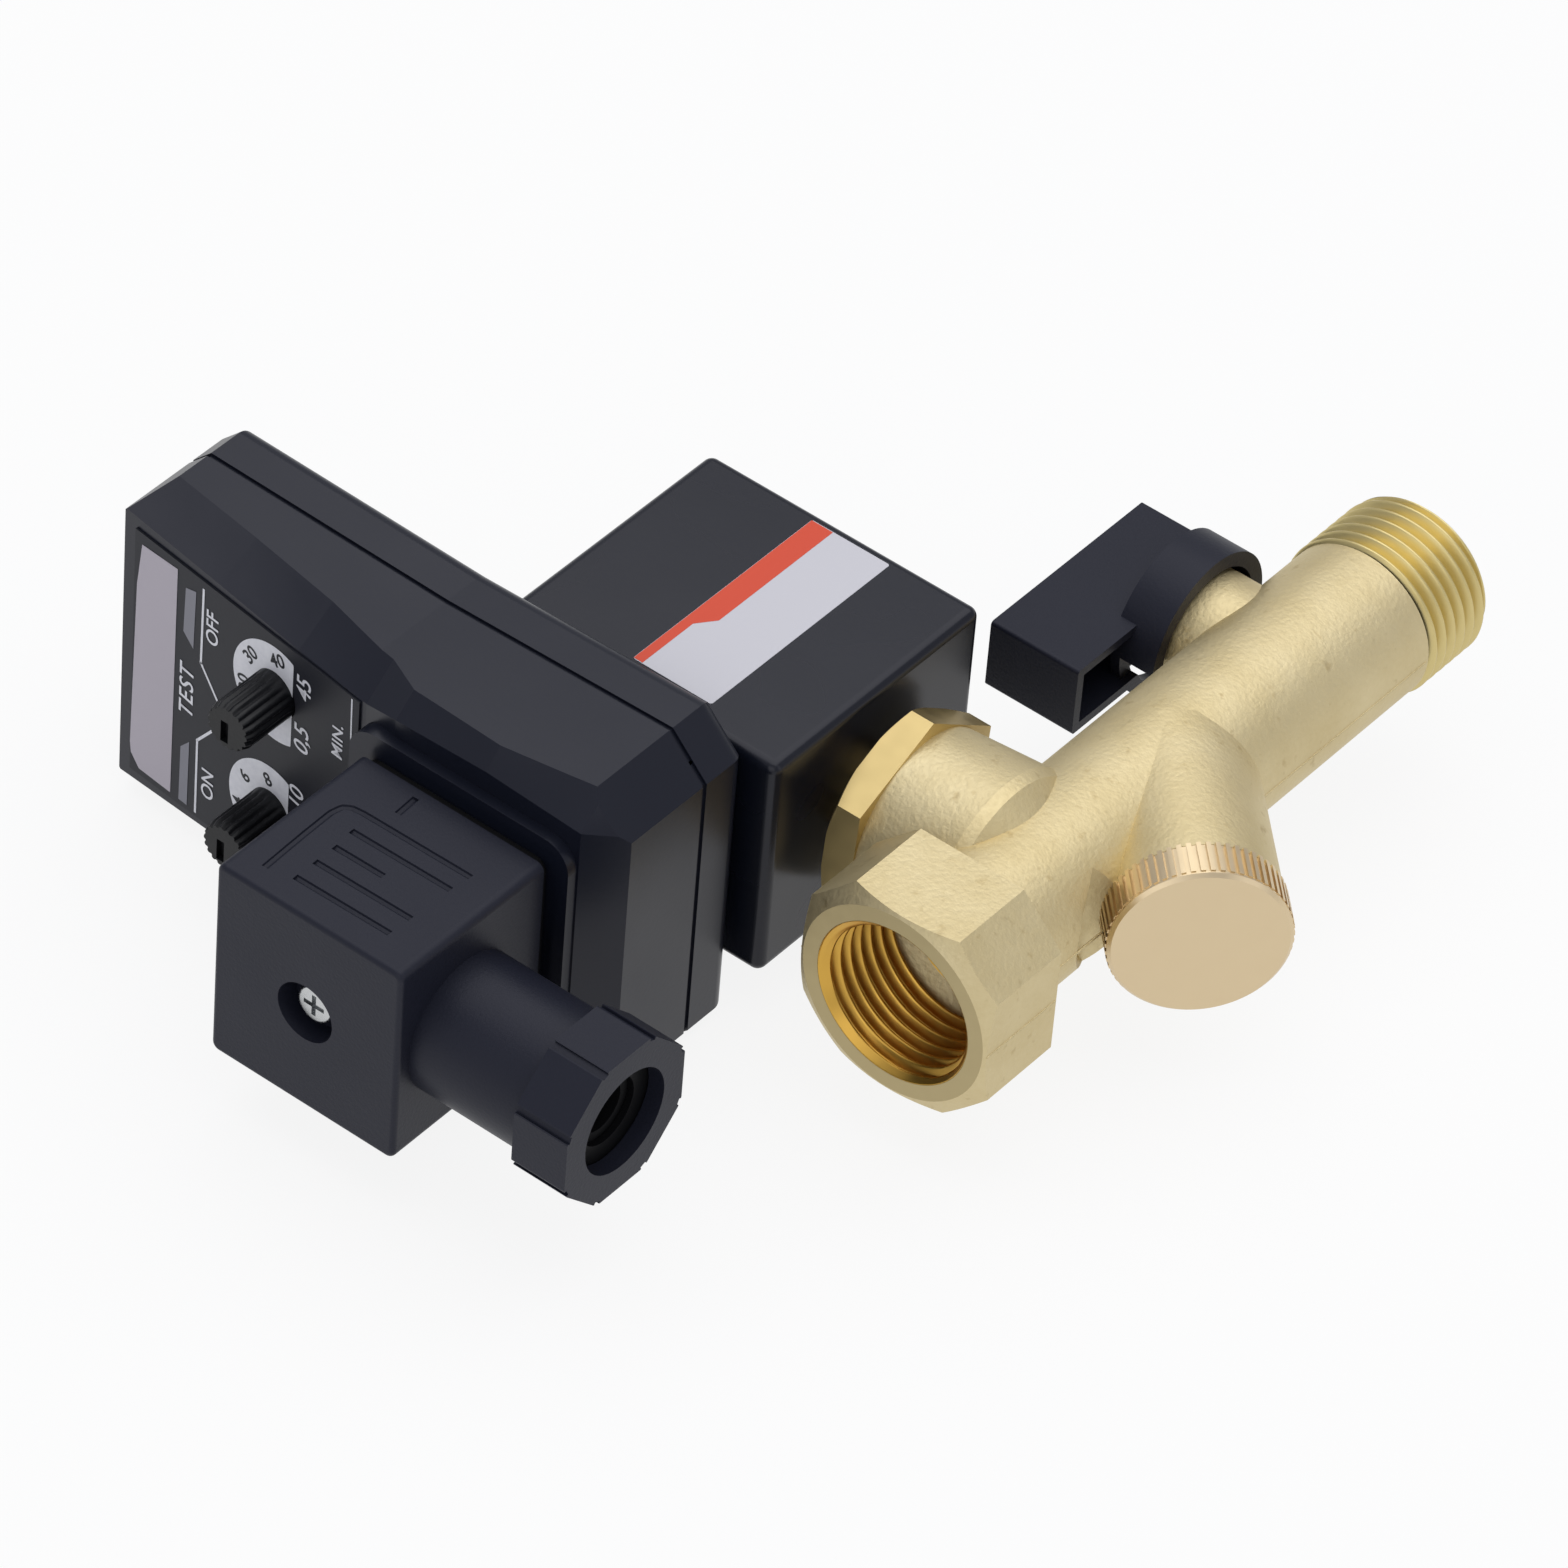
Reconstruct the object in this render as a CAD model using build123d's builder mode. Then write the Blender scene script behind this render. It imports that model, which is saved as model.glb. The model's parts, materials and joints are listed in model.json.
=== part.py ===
from build123d import *
import math
import os

# Automatic condensate drain valve: a forged brass body with ball valve, strainer
# and solenoid seat, a moulded coil, an electronic interval timer and a cable plug.
# Frame: origin at the centre of the inlet thread's end face, +Y out of the inlet,
# +X from the coil towards the strainer, +Z up. All sizes in millimetres.

# ---- pipe run of the brass body ----
thread_r = 10.4775
thread_minor_r = 9.3155
thread_len = 12.0
thread_lead = 0.3
run_r = 10.1
run_len = 98.2
inlet_bore_r = 7.5
inlet_bore_depth = 32.9
port_r = 4.5
running_gap = 0.05

# ---- outlet socket ----
octagon_af = 26.0
octagon_len = 12.7
octagon_cut = 5.8
octagon_face_r = 12.6
octagon_bevel = 1.4
neck_r = 11.6
neck_len = 2.2
outlet_depth = 12.5
outlet_lead = 0.3
outlet_port_r = 3.0

# ---- strainer branch, 45 degrees from the run ----
branch_y = -48.1
branch_r = 10.25
branch_reach = 22.16
chamber_r = 7.2
chamber_start = 3.5
spot_r = 14.0
inflow_end_y = -47.0
transfer_r = 2.4

# ---- ball valve ----
stem_y = -25.5
ball_r = 7.0
ball_gap = 0.15
seat_reach = 4.2
seat_len = 3.2
retainer_len = 6.0
retainer_hex_af = 10.0
stem_boss_r = 7.8
stem_boss_reach = 14.0
stem_r = 3.5
stem_collar_r = 4.0
stem_collar_len = 1.6
stem_washer_len = 0.5
stem_tip = 22.6
stem_flat_af = 5.2
tang_w = 2.6
tang_len = 1.5
ring_wire_r = 0.45

# ---- lever ----
lever_front = 15.2
lever_back = 27.8
lever_half_w = 4.85
lever_end_y = 8.5
lever_len = 28.6
lever_wall = 1.2
lever_hub_r = 4.6
skirt_r = 10.4
skirt_wall = 1.9
skirt_tip = 11.5
skirt_disc = 17.5
skirt_start = -73.0
skirt_stop = 180.0
skirt_disc_len = 1.3
lug_angle = 197.0
lug_r = 6.6
lug_w = 2.4
lug_reach = 17.2
stop_gap = 0.15
quarter_turn = 90.0
screw_head_r = 2.9
screw_head_len = 1.9
screw_shank_r = 1.5

# ---- solenoid seat ----
solenoid_y = -73.0
boss_r = 11.8
boss_root_r = 12.6
boss_reach = 16.3
cavity_r = 8.2
cavity_floor = 5.0
nozzle_r = 3.4
nozzle_reach = 8.2
orifice_r = 2.0

# ---- armature ----
hex_af = 24.0
hex_len = 4.1
hex_turn = 35.0
tube_r = 5.3
tube_bore_r = 4.7
tube_thread_depth = 4.2
plunger_r = 4.6
plunger_face = 10.2
plunger_len = 26.0
lift = 1.6
seal_r = 2.9
seal_len = 2.0
core_stop_gap = 0.35
spring_r = 2.0
spring_wire_r = 0.3
spring_turns = 5
spring_pocket = 3.0
plunger_pocket = 6.0
shading_r = 2.9
shading_w = 0.8
seat_rest = 0.0

# ---- coil ----
coil_gap = 2.75
coil_len = 39.42
coil_half_w = 18.44
coil_half_h = 15.75
coil_edge = 1.3
coil_bore_r = 5.5
coil_cell_wall = 1.9
yoke_t = 2.0
yoke_half_h = 10.0
bobbin_r = 6.6
flange_r = 12.9
flange_t = 1.2
winding_r = 12.2
inner_gap = 0.1
nut_af = 11.0
nut_len = 3.0
nut_washer_len = 0.8
stud_proud = 0.9

# ---- timer housing ----
timer_left = 101.6
timer_right = 26.5
timer_half_h = 22.2
timer_waist = 0.9
timer_waist_x = 64.0
coil_gasket_len = 1.15
rear_len = 7.3
rear_edge = 2.2
joint_groove = 0.35
cover_wall = 2.2
step_face_end = 62.0
step_pad_start = 57.0
step_pad_end = 44.0
free_thread = 2.5
cell_half_h = 17.0
cell_half_top = 19.0
end_bevel = 4.0
face_left = 38.0
face_slope = 0.115
pad_base = 43.5
screw_boss_r = 2.6
boss_inset = 4.3
cover_boss_len = 10.0
cover_screw_r = 1.2
cover_head_r = 2.3
cover_head_len = 1.5
corner_top_right = 5.2
corner_bottom_right = 1.6
corner_left = 2.6
pad_rise = 1.5
pad_margin = 2.5
pad_corner = 3.5
label_t = 0.25
label_left = 2.0
label_len = 37.0
label_half_h = 18.2
label_taper = 0.9

# ---- dials, button and board ----
dial_x = -76.3
dial_pitch = 18.05
dial_mid_z = 0.4
knob_r = 3.15
knob_len = 8.3
knob_ribs = 16
knob_shaft_r = 1.5
knob_gap = 0.2
board_t = 1.6
board_back = 2.5
pot_len = 6.0
pot_half = 4.9
button_w = 2.7
button_h = 11.6
button_x = 11.3
button_gap = 0.3
button_travel = 0.4
film_gap = 0.3
button_z = -0.5
lamp_x = -90.8
lamp_high = 11.2
lamp_low = -13.0
lamp_w = 1.8
lamp_h = 7.6
lamp_r = 1.5
lamp_len = 4.5
switch_half = 3.0
switch_len = 3.8

# ---- cable plug ----
plug_x = -46.45
plug_half_w = 13.25
plug_half_h = 14.0
plug_len = 23.93
plug_gasket_len = 1.1
plug_wall = 2.0
plug_edge = 1.1
plug_recess_r = 3.9
plug_recess_depth = 3.2
plug_screw_head_r = 2.5
plug_screw_head_len = 1.7
plug_screw_r = 1.45
pin_w = 6.3
pin_t = 0.8
pin_len = 9.0
pin_reach_x = 8.0
pin_reach_z = 7.5
blade_reach = 5.0
contact_w = 7.6
contact_t = 2.2
contact_len = 8.6
plug_cell_len = 18.0

# ---- cable gland ----
gland_y_from_face = 10.68
gland_tube_r = 8.75
gland_tube_len = 15.7
gland_bore_r = 6.0
gland_thread_r = 8.1
gland_thread_len = 5.2
gland_nut_len = 7.6
gland_nut_r = 10.8
gland_nut_bore_r = 6.7
gland_nut_front = 2.2
gland_facets = 8
seal_bore_r = 3.2
seal_r_outer = 6.95
seal_pocket = 6.0
gland_washer_len = 0.8

# ---- strainer cap and screen ----
cap_r = 10.65
cap_len = 5.24
cap_thread_len = 6.0
cap_face_edge = 0.7
knurls = 60
knurl_depth = 0.45
screen_r = 5.3
screen_wall = 0.45
screen_seat_r = 5.4
screen_start = -3.0
screen_clearance = 0.96
cap_floor = 1.2
screen_hole_r = 1.4

# ---- derived positions ----
s45 = math.sqrt(0.5)
octagon_back_y = -run_len + octagon_len
screen_len = branch_reach - cap_floor - screen_clearance - screen_start
hex_back = boss_reach + hex_len
coil_front = hex_back + coil_gap
coil_back = coil_front + coil_len
coil_mid = (coil_front + coil_back) / 2
timer_back_y = solenoid_y - coil_half_w - coil_gasket_len
joint_y = timer_back_y - rear_len
pad_base_y = solenoid_y - pad_base
pad_y = pad_base_y - pad_rise
plug_back_y = pad_y - plug_gasket_len
plug_front_y = plug_back_y - plug_len
gland_y = plug_front_y + gland_y_from_face
gland_x = plug_x + plug_half_w
gland_end_x = gland_x + gland_tube_len
seat_len_near = stem_y + seat_reach
pin_tip_y = plug_back_y - pin_len
pin_spots = [(pin_reach_x - 4, pin_reach_z), (pin_reach_x - 4, -pin_reach_z), (-pin_reach_x, 0)]
terminal_spots = [(pin_reach_x - 4, pin_reach_z), (pin_reach_x - 4, -pin_reach_z), (-pin_reach_x, 0)]

os.makedirs("parts", exist_ok=True)


def cross_plane(x, y=0.0, z=0.0):
    """Plane across the X axis: sketch x is +Y, sketch y is +Z, normal +X."""
    return Plane(origin=(x, y, z), x_dir=(0, 1, 0), z_dir=(1, 0, 0))


def back_plane(x, y=0.0, z=0.0):
    """Plane across the X axis whose normal is -X, sketch y is +Z."""
    return Plane(origin=(x, y, z), x_dir=(0, -1, 0), z_dir=(-1, 0, 0))


def run_plane(y, x=0.0, z=0.0):
    """Plane across the run: sketch x is +X, sketch y is +Z, normal -Y."""
    return Plane(origin=(x, y, z), x_dir=(1, 0, 0), z_dir=(0, -1, 0))


def branch_plane(t):
    """Plane across the strainer branch at t along its axis, normal outwards."""
    return Plane(origin=(t * s45, branch_y - t * s45, 0), x_dir=(0, 0, 1), z_dir=(s45, -s45, 0))


def sector(start, stop, reach):
    """Corners of a pie slice on a back plane, angles from +Y towards +Z."""
    steps = [start + (stop - start) * i / 6 for i in range(7)]
    rim = [(-math.cos(math.radians(a)) * reach, math.sin(math.radians(a)) * reach) for a in steps]
    return [(0, 0)] + rim


# ---- brass body ----
with BuildPart() as body:
    # pipe run with the inlet thread at its end
    with BuildSketch(run_plane(-thread_len)):
        Circle(run_r)
    extrude(amount=run_len - thread_len - octagon_len)
    with BuildSketch(run_plane(0)) as thread_blank:
        Circle(thread_r)
    extrude(amount=thread_len)
    inlet_edge = body.edges().filter_by(GeomType.CIRCLE).sort_by(Axis.Y)[-1]
    chamfer(inlet_edge, length=thread_lead)
    # octagonal outlet socket, turned bevel on its face, short neck behind it
    with BuildSketch(run_plane(octagon_back_y)) as socket_form:
        Rectangle(octagon_af, octagon_af)
        chamfer(socket_form.vertices(), length=octagon_cut)
    extrude(amount=octagon_len)
    with BuildSketch(Plane.XY):
        with BuildLine():
            Polyline(
                (octagon_face_r, -run_len - 1),
                (octagon_face_r, -run_len),
                (octagon_face_r + 2.43, -run_len + octagon_bevel),
                (octagon_face_r + 6, -run_len + octagon_bevel),
                (octagon_face_r + 6, -run_len - 1),
                close=True,
            )
        make_face()
    revolve(axis=Axis.Y, mode=Mode.SUBTRACT)
    with BuildSketch(Plane.XY):
        with BuildLine():
            Line((0, octagon_back_y), (neck_r, octagon_back_y))
            Spline(
                (neck_r, octagon_back_y),
                (run_r, octagon_back_y + neck_len),
                tangents=[(-0.3, 1), (0, 1)],
            )
            Polyline((run_r, octagon_back_y + neck_len), (0, octagon_back_y + neck_len), (0, octagon_back_y))
        make_face()
    revolve(axis=Axis.Y)
    # solenoid boss, tapered and rounded into the run
    with BuildSketch(Plane.XY) as boss_form:
        with BuildLine():
            Polyline(
                (-boss_reach, solenoid_y),
                (-boss_reach, solenoid_y + boss_r),
                (-cavity_floor, solenoid_y + boss_root_r),
                (-cavity_floor + 1.5, solenoid_y + boss_root_r - 0.4),
                (1.0, solenoid_y + boss_root_r - 4.5),
                (1.0, solenoid_y),
                close=True,
            )
        make_face()
    revolve(axis=Axis((0, solenoid_y, 0), (1, 0, 0)))
    # strainer branch and stem boss
    with BuildSketch(branch_plane(0)):
        Circle(branch_r)
    extrude(amount=branch_reach)
    with BuildSketch(back_plane(0, stem_y)):
        Circle(stem_boss_r)
    extrude(amount=stem_boss_reach)
    # stop lug of the lever beside the stem boss
    with BuildSketch(back_plane(-stem_boss_reach + 1, stem_y)):
        with PolarLocations(lug_r, 1, start_angle=180 - lug_angle):
            Rectangle(lug_w, lug_w)
    extrude(amount=lug_reach - stem_boss_reach + 1)
    # spot face round the cap seat
    with BuildSketch(branch_plane(branch_reach)):
        Circle(spot_r)
    extrude(amount=spot_r, mode=Mode.SUBTRACT)
    # inlet bore, ball chamber and the passage to the strainer
    with BuildSketch(run_plane(0)):
        Circle(inlet_bore_r)
    extrude(amount=inlet_bore_depth, mode=Mode.SUBTRACT)
    with BuildSketch(run_plane(0)):
        Circle(port_r)
    extrude(amount=-inflow_end_y, mode=Mode.SUBTRACT)
    with BuildSketch(branch_plane(chamber_start)):
        Circle(chamber_r)
    extrude(amount=branch_reach, mode=Mode.SUBTRACT)
    with BuildSketch(branch_plane(screen_start)):
        Circle(screen_seat_r)
    extrude(amount=chamber_start - screen_start, mode=Mode.SUBTRACT)
    # stem bore with its inner collar seat
    with BuildSketch(back_plane(0, stem_y)):
        Circle(stem_r + running_gap)
    extrude(amount=stem_boss_reach, mode=Mode.SUBTRACT)
    with BuildSketch(back_plane(0, stem_y)):
        Circle(stem_collar_r + running_gap)
    extrude(amount=ball_r + stem_collar_len + stem_washer_len + 0.2, mode=Mode.SUBTRACT)
    # solenoid cavity with the valve nozzle left standing in it
    with BuildSketch(back_plane(-cavity_floor, solenoid_y)):
        Circle(cavity_r)
        Circle(nozzle_r, mode=Mode.SUBTRACT)
    extrude(amount=boss_reach - cavity_floor, mode=Mode.SUBTRACT)
    with BuildSketch(back_plane(-nozzle_reach, solenoid_y)):
        Circle(cavity_r)
    extrude(amount=boss_reach - nozzle_reach, mode=Mode.SUBTRACT)
    with BuildSketch(back_plane(1.5, solenoid_y)):
        Circle(orifice_r)
    extrude(amount=nozzle_reach + 1.5, mode=Mode.SUBTRACT)
    # outlet passage and threaded socket
    with BuildSketch(run_plane(solenoid_y + orifice_r - 1)):
        Circle(outlet_port_r)
    extrude(amount=run_len + solenoid_y + orifice_r, mode=Mode.SUBTRACT)
    with BuildSketch(Plane.XY):
        with BuildLine():
            Polyline(
                (0, -run_len - 1),
                (thread_minor_r + outlet_lead, -run_len - 1),
                (thread_minor_r + outlet_lead, -run_len),
                (thread_minor_r, -run_len + outlet_lead),
                (thread_minor_r, -run_len + outlet_depth),
                (0, -run_len + outlet_depth + thread_minor_r * math.tan(math.radians(31))),
                close=True,
            )
        make_face()
    revolve(axis=Axis.Y, mode=Mode.SUBTRACT)
    # drilled passage from the strainer chamber to the solenoid cavity
    transfer_from = Vector(3.0, branch_y - 8.9, 0)
    transfer_to = Vector(-cavity_floor - 0.9, solenoid_y + 6.3, 0)
    transfer_dir = (transfer_to - transfer_from).normalized()
    with BuildSketch(Plane(origin=transfer_from, x_dir=(0, 0, 1), z_dir=transfer_dir)):
        Circle(transfer_r)
    extrude(amount=(transfer_to - transfer_from).length, mode=Mode.SUBTRACT)
body.part.label = "body"

# ---- strainer ----
with BuildPart() as strainer_screen:
    with BuildSketch(branch_plane(screen_start)):
        Circle(screen_r)
        Circle(screen_r - screen_wall, mode=Mode.SUBTRACT)
    extrude(amount=screen_len)
    for row in range(2):
        level = branch_plane(chamber_start + 4.5 + row * 5.0)
        for turn in range(3):
            spoke = math.radians(60 * turn + 30 * row)
            across = level.x_dir * math.cos(spoke) + level.y_dir * math.sin(spoke)
            with BuildSketch(Plane(origin=level.origin, x_dir=level.z_dir, z_dir=across)):
                Circle(screen_hole_r)
            extrude(amount=screen_r + 1, both=True, mode=Mode.SUBTRACT)
strainer_screen.part.label = "strainer_screen"

cap_ring_t = branch_reach - 2.3
with BuildPart() as strainer_cap:
    with BuildSketch(branch_plane(branch_reach - cap_thread_len)):
        Circle(chamber_r - running_gap)
    extrude(amount=cap_thread_len)
    with BuildSketch(branch_plane(branch_reach)) as knurl_form:
        Circle(cap_r)
        with PolarLocations(cap_r, knurls):
            Rectangle(knurl_depth * 2, cap_r * math.pi / knurls, mode=Mode.SUBTRACT)
    extrude(amount=cap_len - cap_face_edge)
    with BuildSketch(branch_plane(branch_reach + cap_len - cap_face_edge)):
        Circle(cap_r - 0.15)
    extrude(amount=cap_face_edge)
    face_rim = strainer_cap.edges().filter_by(GeomType.CIRCLE).sort_by(Axis((0, 0, 0), (1, -1, 0)))[-1]
    chamfer(face_rim, length=cap_face_edge * 0.6)
    # recess that holds the screen, and the O-ring groove
    with BuildSketch(branch_plane(branch_reach - cap_thread_len)):
        Circle(screen_seat_r)
    extrude(amount=cap_thread_len - cap_floor, mode=Mode.SUBTRACT)
    with BuildSketch(branch_plane(cap_ring_t - ring_wire_r - 0.15)):
        Circle(chamber_r)
        Circle(chamber_r - 2 * ring_wire_r - 0.1, mode=Mode.SUBTRACT)
    extrude(amount=2 * ring_wire_r + 0.3, mode=Mode.SUBTRACT)
strainer_cap.part.label = "strainer_cap"

with BuildPart() as strainer_o_ring:
    with BuildSketch(branch_plane(cap_ring_t - ring_wire_r)):
        Circle(chamber_r - running_gap)
        Circle(chamber_r - 2 * ring_wire_r - 0.1, mode=Mode.SUBTRACT)
    extrude(amount=2 * ring_wire_r)
strainer_o_ring.part.label = "strainer_o_ring"

# ---- ball valve ----
with BuildPart() as ball:
    with Locations((0, stem_y, 0)):
        Sphere(ball_r)
    with BuildSketch(run_plane(stem_y)):
        Circle(port_r)
    extrude(amount=ball_r, both=True, mode=Mode.SUBTRACT)
    # slot that takes the stem's tang
    with BuildSketch(back_plane(-ball_r + tang_len, stem_y)):
        Rectangle(2 * ball_r, tang_w + 0.2)
    extrude(amount=tang_len + 1, mode=Mode.SUBTRACT)
ball.part.label = "ball"

with BuildPart() as ball_seats:
    with BuildSketch(run_plane(stem_y + seat_reach + seat_len)):
        Circle(inlet_bore_r - running_gap)
        Circle(port_r, mode=Mode.SUBTRACT)
    extrude(amount=seat_len)
    with BuildSketch(run_plane(stem_y - seat_reach)):
        Circle(inlet_bore_r - running_gap)
        Circle(port_r, mode=Mode.SUBTRACT)
    extrude(amount=seat_len)
    with Locations((0, stem_y, 0)):
        Sphere(ball_r + ball_gap, mode=Mode.SUBTRACT)
ball_seats.part.label = "ball_seats"

with BuildPart() as seat_retainer:
    with BuildSketch(run_plane(stem_y + seat_reach + seat_len + retainer_len)):
        Circle(inlet_bore_r - running_gap)
        RegularPolygon(retainer_hex_af / 2, 6, major_radius=False, mode=Mode.SUBTRACT)
    extrude(amount=retainer_len)
seat_retainer.part.label = "seat_retainer"

collar_x = -ball_r
with BuildPart() as stem:
    with BuildSketch(back_plane(collar_x, stem_y)):
        Circle(stem_collar_r)
    extrude(amount=stem_collar_len)
    with BuildSketch(back_plane(collar_x, stem_y)):
        Circle(stem_r)
    extrude(amount=lever_front - ball_r)
    with BuildSketch(back_plane(-lever_front, stem_y)) as stem_square:
        Circle(stem_r)
        Rectangle(stem_flat_af, 2 * stem_r, mode=Mode.INTERSECT)
    extrude(amount=stem_tip - lever_front)
    with BuildSketch(cross_plane(collar_x, stem_y)):
        Circle(stem_collar_r)
        Rectangle(3 * stem_collar_r, tang_w, mode=Mode.INTERSECT)
    extrude(amount=tang_len - 0.1)
    for groove_x in (stem_boss_reach - 1.4, stem_boss_reach - 3.2):
        with BuildSketch(back_plane(-groove_x + ring_wire_r + 0.1, stem_y)):
            Circle(stem_r + 1)
            Circle(stem_r - 2 * ring_wire_r, mode=Mode.SUBTRACT)
        extrude(amount=2 * ring_wire_r + 0.2, mode=Mode.SUBTRACT)
    with BuildSketch(back_plane(-stem_tip, stem_y)):
        Circle(screw_shank_r + running_gap)
    extrude(amount=-6.5, mode=Mode.SUBTRACT)
stem.part.label = "stem"

with BuildPart() as stem_washer:
    with BuildSketch(back_plane(collar_x - stem_collar_len, stem_y)):
        Circle(stem_collar_r)
        Circle(stem_r + running_gap, mode=Mode.SUBTRACT)
    extrude(amount=stem_washer_len)
stem_washer.part.label = "stem_washer"

with BuildPart() as stem_o_rings:
    for groove_x in (stem_boss_reach - 1.4, stem_boss_reach - 3.2):
        with BuildSketch(back_plane(-groove_x + ring_wire_r, stem_y)):
            Circle(stem_r)
            Circle(stem_r - 2 * ring_wire_r, mode=Mode.SUBTRACT)
        extrude(amount=2 * ring_wire_r)
stem_o_rings.part.label = "stem_o_rings"

# ---- lever: an open trough with a hub, a stop skirt and a fixing screw ----
lever_mid_y = stem_y + lever_end_y - lever_len / 2
lug_half_angle = math.degrees(math.atan2(lug_w / 2, lug_r - lug_w / 2))
stop_gap_angle = math.degrees(stop_gap / (lug_r - lug_w / 2))
stop_from = lug_angle - lug_half_angle - stop_gap_angle
stop_to = lug_angle + lug_half_angle + stop_gap_angle + quarter_turn
with BuildPart() as lever:
    with BuildSketch(back_plane(-lever_front, lever_mid_y)) as lever_form:
        Rectangle(lever_len, 2 * lever_half_w)
    extrude(amount=lever_back - lever_front)
    fillet(lever.edges().filter_by(Axis.X), radius=0.5)
    with BuildSketch(back_plane(-lever_front, lever_mid_y)):
        Rectangle(lever_len - 2 * lever_wall, 2 * (lever_half_w - lever_wall))
    extrude(amount=lever_back - lever_front - lever_wall, mode=Mode.SUBTRACT)
    # stop disc and skirt round the stem boss
    with BuildSketch(back_plane(-skirt_disc + skirt_disc_len, stem_y)):
        Circle(skirt_r)
    extrude(amount=skirt_disc_len)
    with BuildSketch(back_plane(-skirt_tip, stem_y)):
        Circle(skirt_r)
        Circle(skirt_r - skirt_wall, mode=Mode.SUBTRACT)
        with BuildLine():
            Polyline(*sector(skirt_stop, 360 + skirt_start, 2 * skirt_r), close=True)
        make_face(mode=Mode.SUBTRACT)
    extrude(amount=skirt_disc - skirt_tip)
    # hub over the stem flats
    with BuildSketch(back_plane(-lever_front, stem_y)):
        Circle(lever_hub_r)
    extrude(amount=lever_back - lever_front)
    # sector in which the stop lug runs, a quarter turn wider than the lug
    with BuildSketch(back_plane(-skirt_disc, stem_y)):
        with BuildLine():
            Polyline(*sector(stop_from, stop_to, 2 * skirt_r), close=True)
        make_face()
        Circle(lug_r + lug_w / 2 + 0.8, mode=Mode.INTERSECT)
        Circle(lever_hub_r, mode=Mode.SUBTRACT)
    extrude(amount=-(skirt_disc - lever_front), mode=Mode.SUBTRACT)
    # boss clearance, stem hole, screw hole and head recess
    with BuildSketch(back_plane(0, stem_y)):
        Circle(stem_boss_r + 0.3)
    extrude(amount=stem_boss_reach + 0.5, mode=Mode.SUBTRACT)
    with BuildSketch(back_plane(0, stem_y)):
        Circle(stem_r + running_gap)
        Rectangle(stem_flat_af + 2 * running_gap, 2 * stem_r + 1, mode=Mode.INTERSECT)
    extrude(amount=stem_tip + 0.1, mode=Mode.SUBTRACT)
    with BuildSketch(back_plane(0, stem_y)):
        Circle(screw_shank_r + running_gap)
    extrude(amount=lever_back + 1, mode=Mode.SUBTRACT)
    with BuildSketch(back_plane(-lever_back, stem_y)):
        Circle(screw_head_r + 0.3)
    extrude(amount=-(screw_head_len + 0.7), mode=Mode.SUBTRACT)
lever.part.label = "lever"

lever_seat_x = -lever_back + screw_head_len + 0.7
with BuildPart() as lever_screw:
    with BuildSketch(back_plane(lever_seat_x, stem_y)):
        Circle(screw_head_r)
    extrude(amount=screw_head_len)
    with BuildSketch(back_plane(lever_seat_x + 8.2, stem_y)):
        Circle(screw_shank_r)
    extrude(amount=8.2)
    with BuildSketch(back_plane(lever_seat_x - screw_head_len, stem_y)):
        Rectangle(3.6, 0.7)
        Rectangle(0.7, 3.6)
    extrude(amount=-1.1, mode=Mode.SUBTRACT)
lever_screw.part.label = "lever_screw"

# ---- armature: hexagon, guide tube, fixed core, plunger and spring ----
tube_end = coil_back + nut_washer_len + nut_len + stud_proud
core_face = plunger_face + plunger_len + lift + core_stop_gap
core_back = coil_back - inner_gap
tube_start = boss_reach - tube_thread_depth
with BuildPart() as armature_tube:
    with BuildSketch(back_plane(-boss_reach, solenoid_y)):
        RegularPolygon(hex_af / 2, 6, major_radius=False, rotation=hex_turn)
    extrude(amount=hex_len)
    with BuildSketch(Plane.XY):
        with BuildLine():
            Polyline(
                (-hex_back - 1, solenoid_y + hex_af / 2 + 0.2),
                (-hex_back, solenoid_y + hex_af / 2 + 0.2),
                (-hex_back + 1.0, solenoid_y + hex_af / 2 + 1.93),
                (-hex_back + 1.0, solenoid_y + hex_af),
                (-hex_back - 1, solenoid_y + hex_af),
                close=True,
            )
        make_face()
    revolve(axis=Axis((0, solenoid_y, 0), (1, 0, 0)), mode=Mode.SUBTRACT)
    with BuildSketch(back_plane(-tube_start, solenoid_y)):
        Circle(cavity_r - running_gap)
    extrude(amount=tube_thread_depth)
    with BuildSketch(back_plane(-hex_back, solenoid_y)):
        Circle(tube_r)
    extrude(amount=core_back - hex_back)
    with BuildSketch(back_plane(-tube_start, solenoid_y)):
        Circle(tube_bore_r)
    extrude(amount=tube_end, mode=Mode.SUBTRACT)
    # groove for the O-ring under the hexagon
    with BuildSketch(back_plane(-boss_reach + 2 * ring_wire_r + 0.4, solenoid_y)):
        Circle(cavity_r)
        Circle(cavity_r - 2 * ring_wire_r - 0.1, mode=Mode.SUBTRACT)
    extrude(amount=2 * ring_wire_r + 0.2, mode=Mode.SUBTRACT)
armature_tube.part.label = "armature_tube"

with BuildPart() as tube_o_ring:
    with BuildSketch(back_plane(-boss_reach + 2 * ring_wire_r + 0.3, solenoid_y)):
        Circle(cavity_r - running_gap)
        Circle(cavity_r - 2 * ring_wire_r - 0.1, mode=Mode.SUBTRACT)
    extrude(amount=2 * ring_wire_r)
tube_o_ring.part.label = "tube_o_ring"

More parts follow.
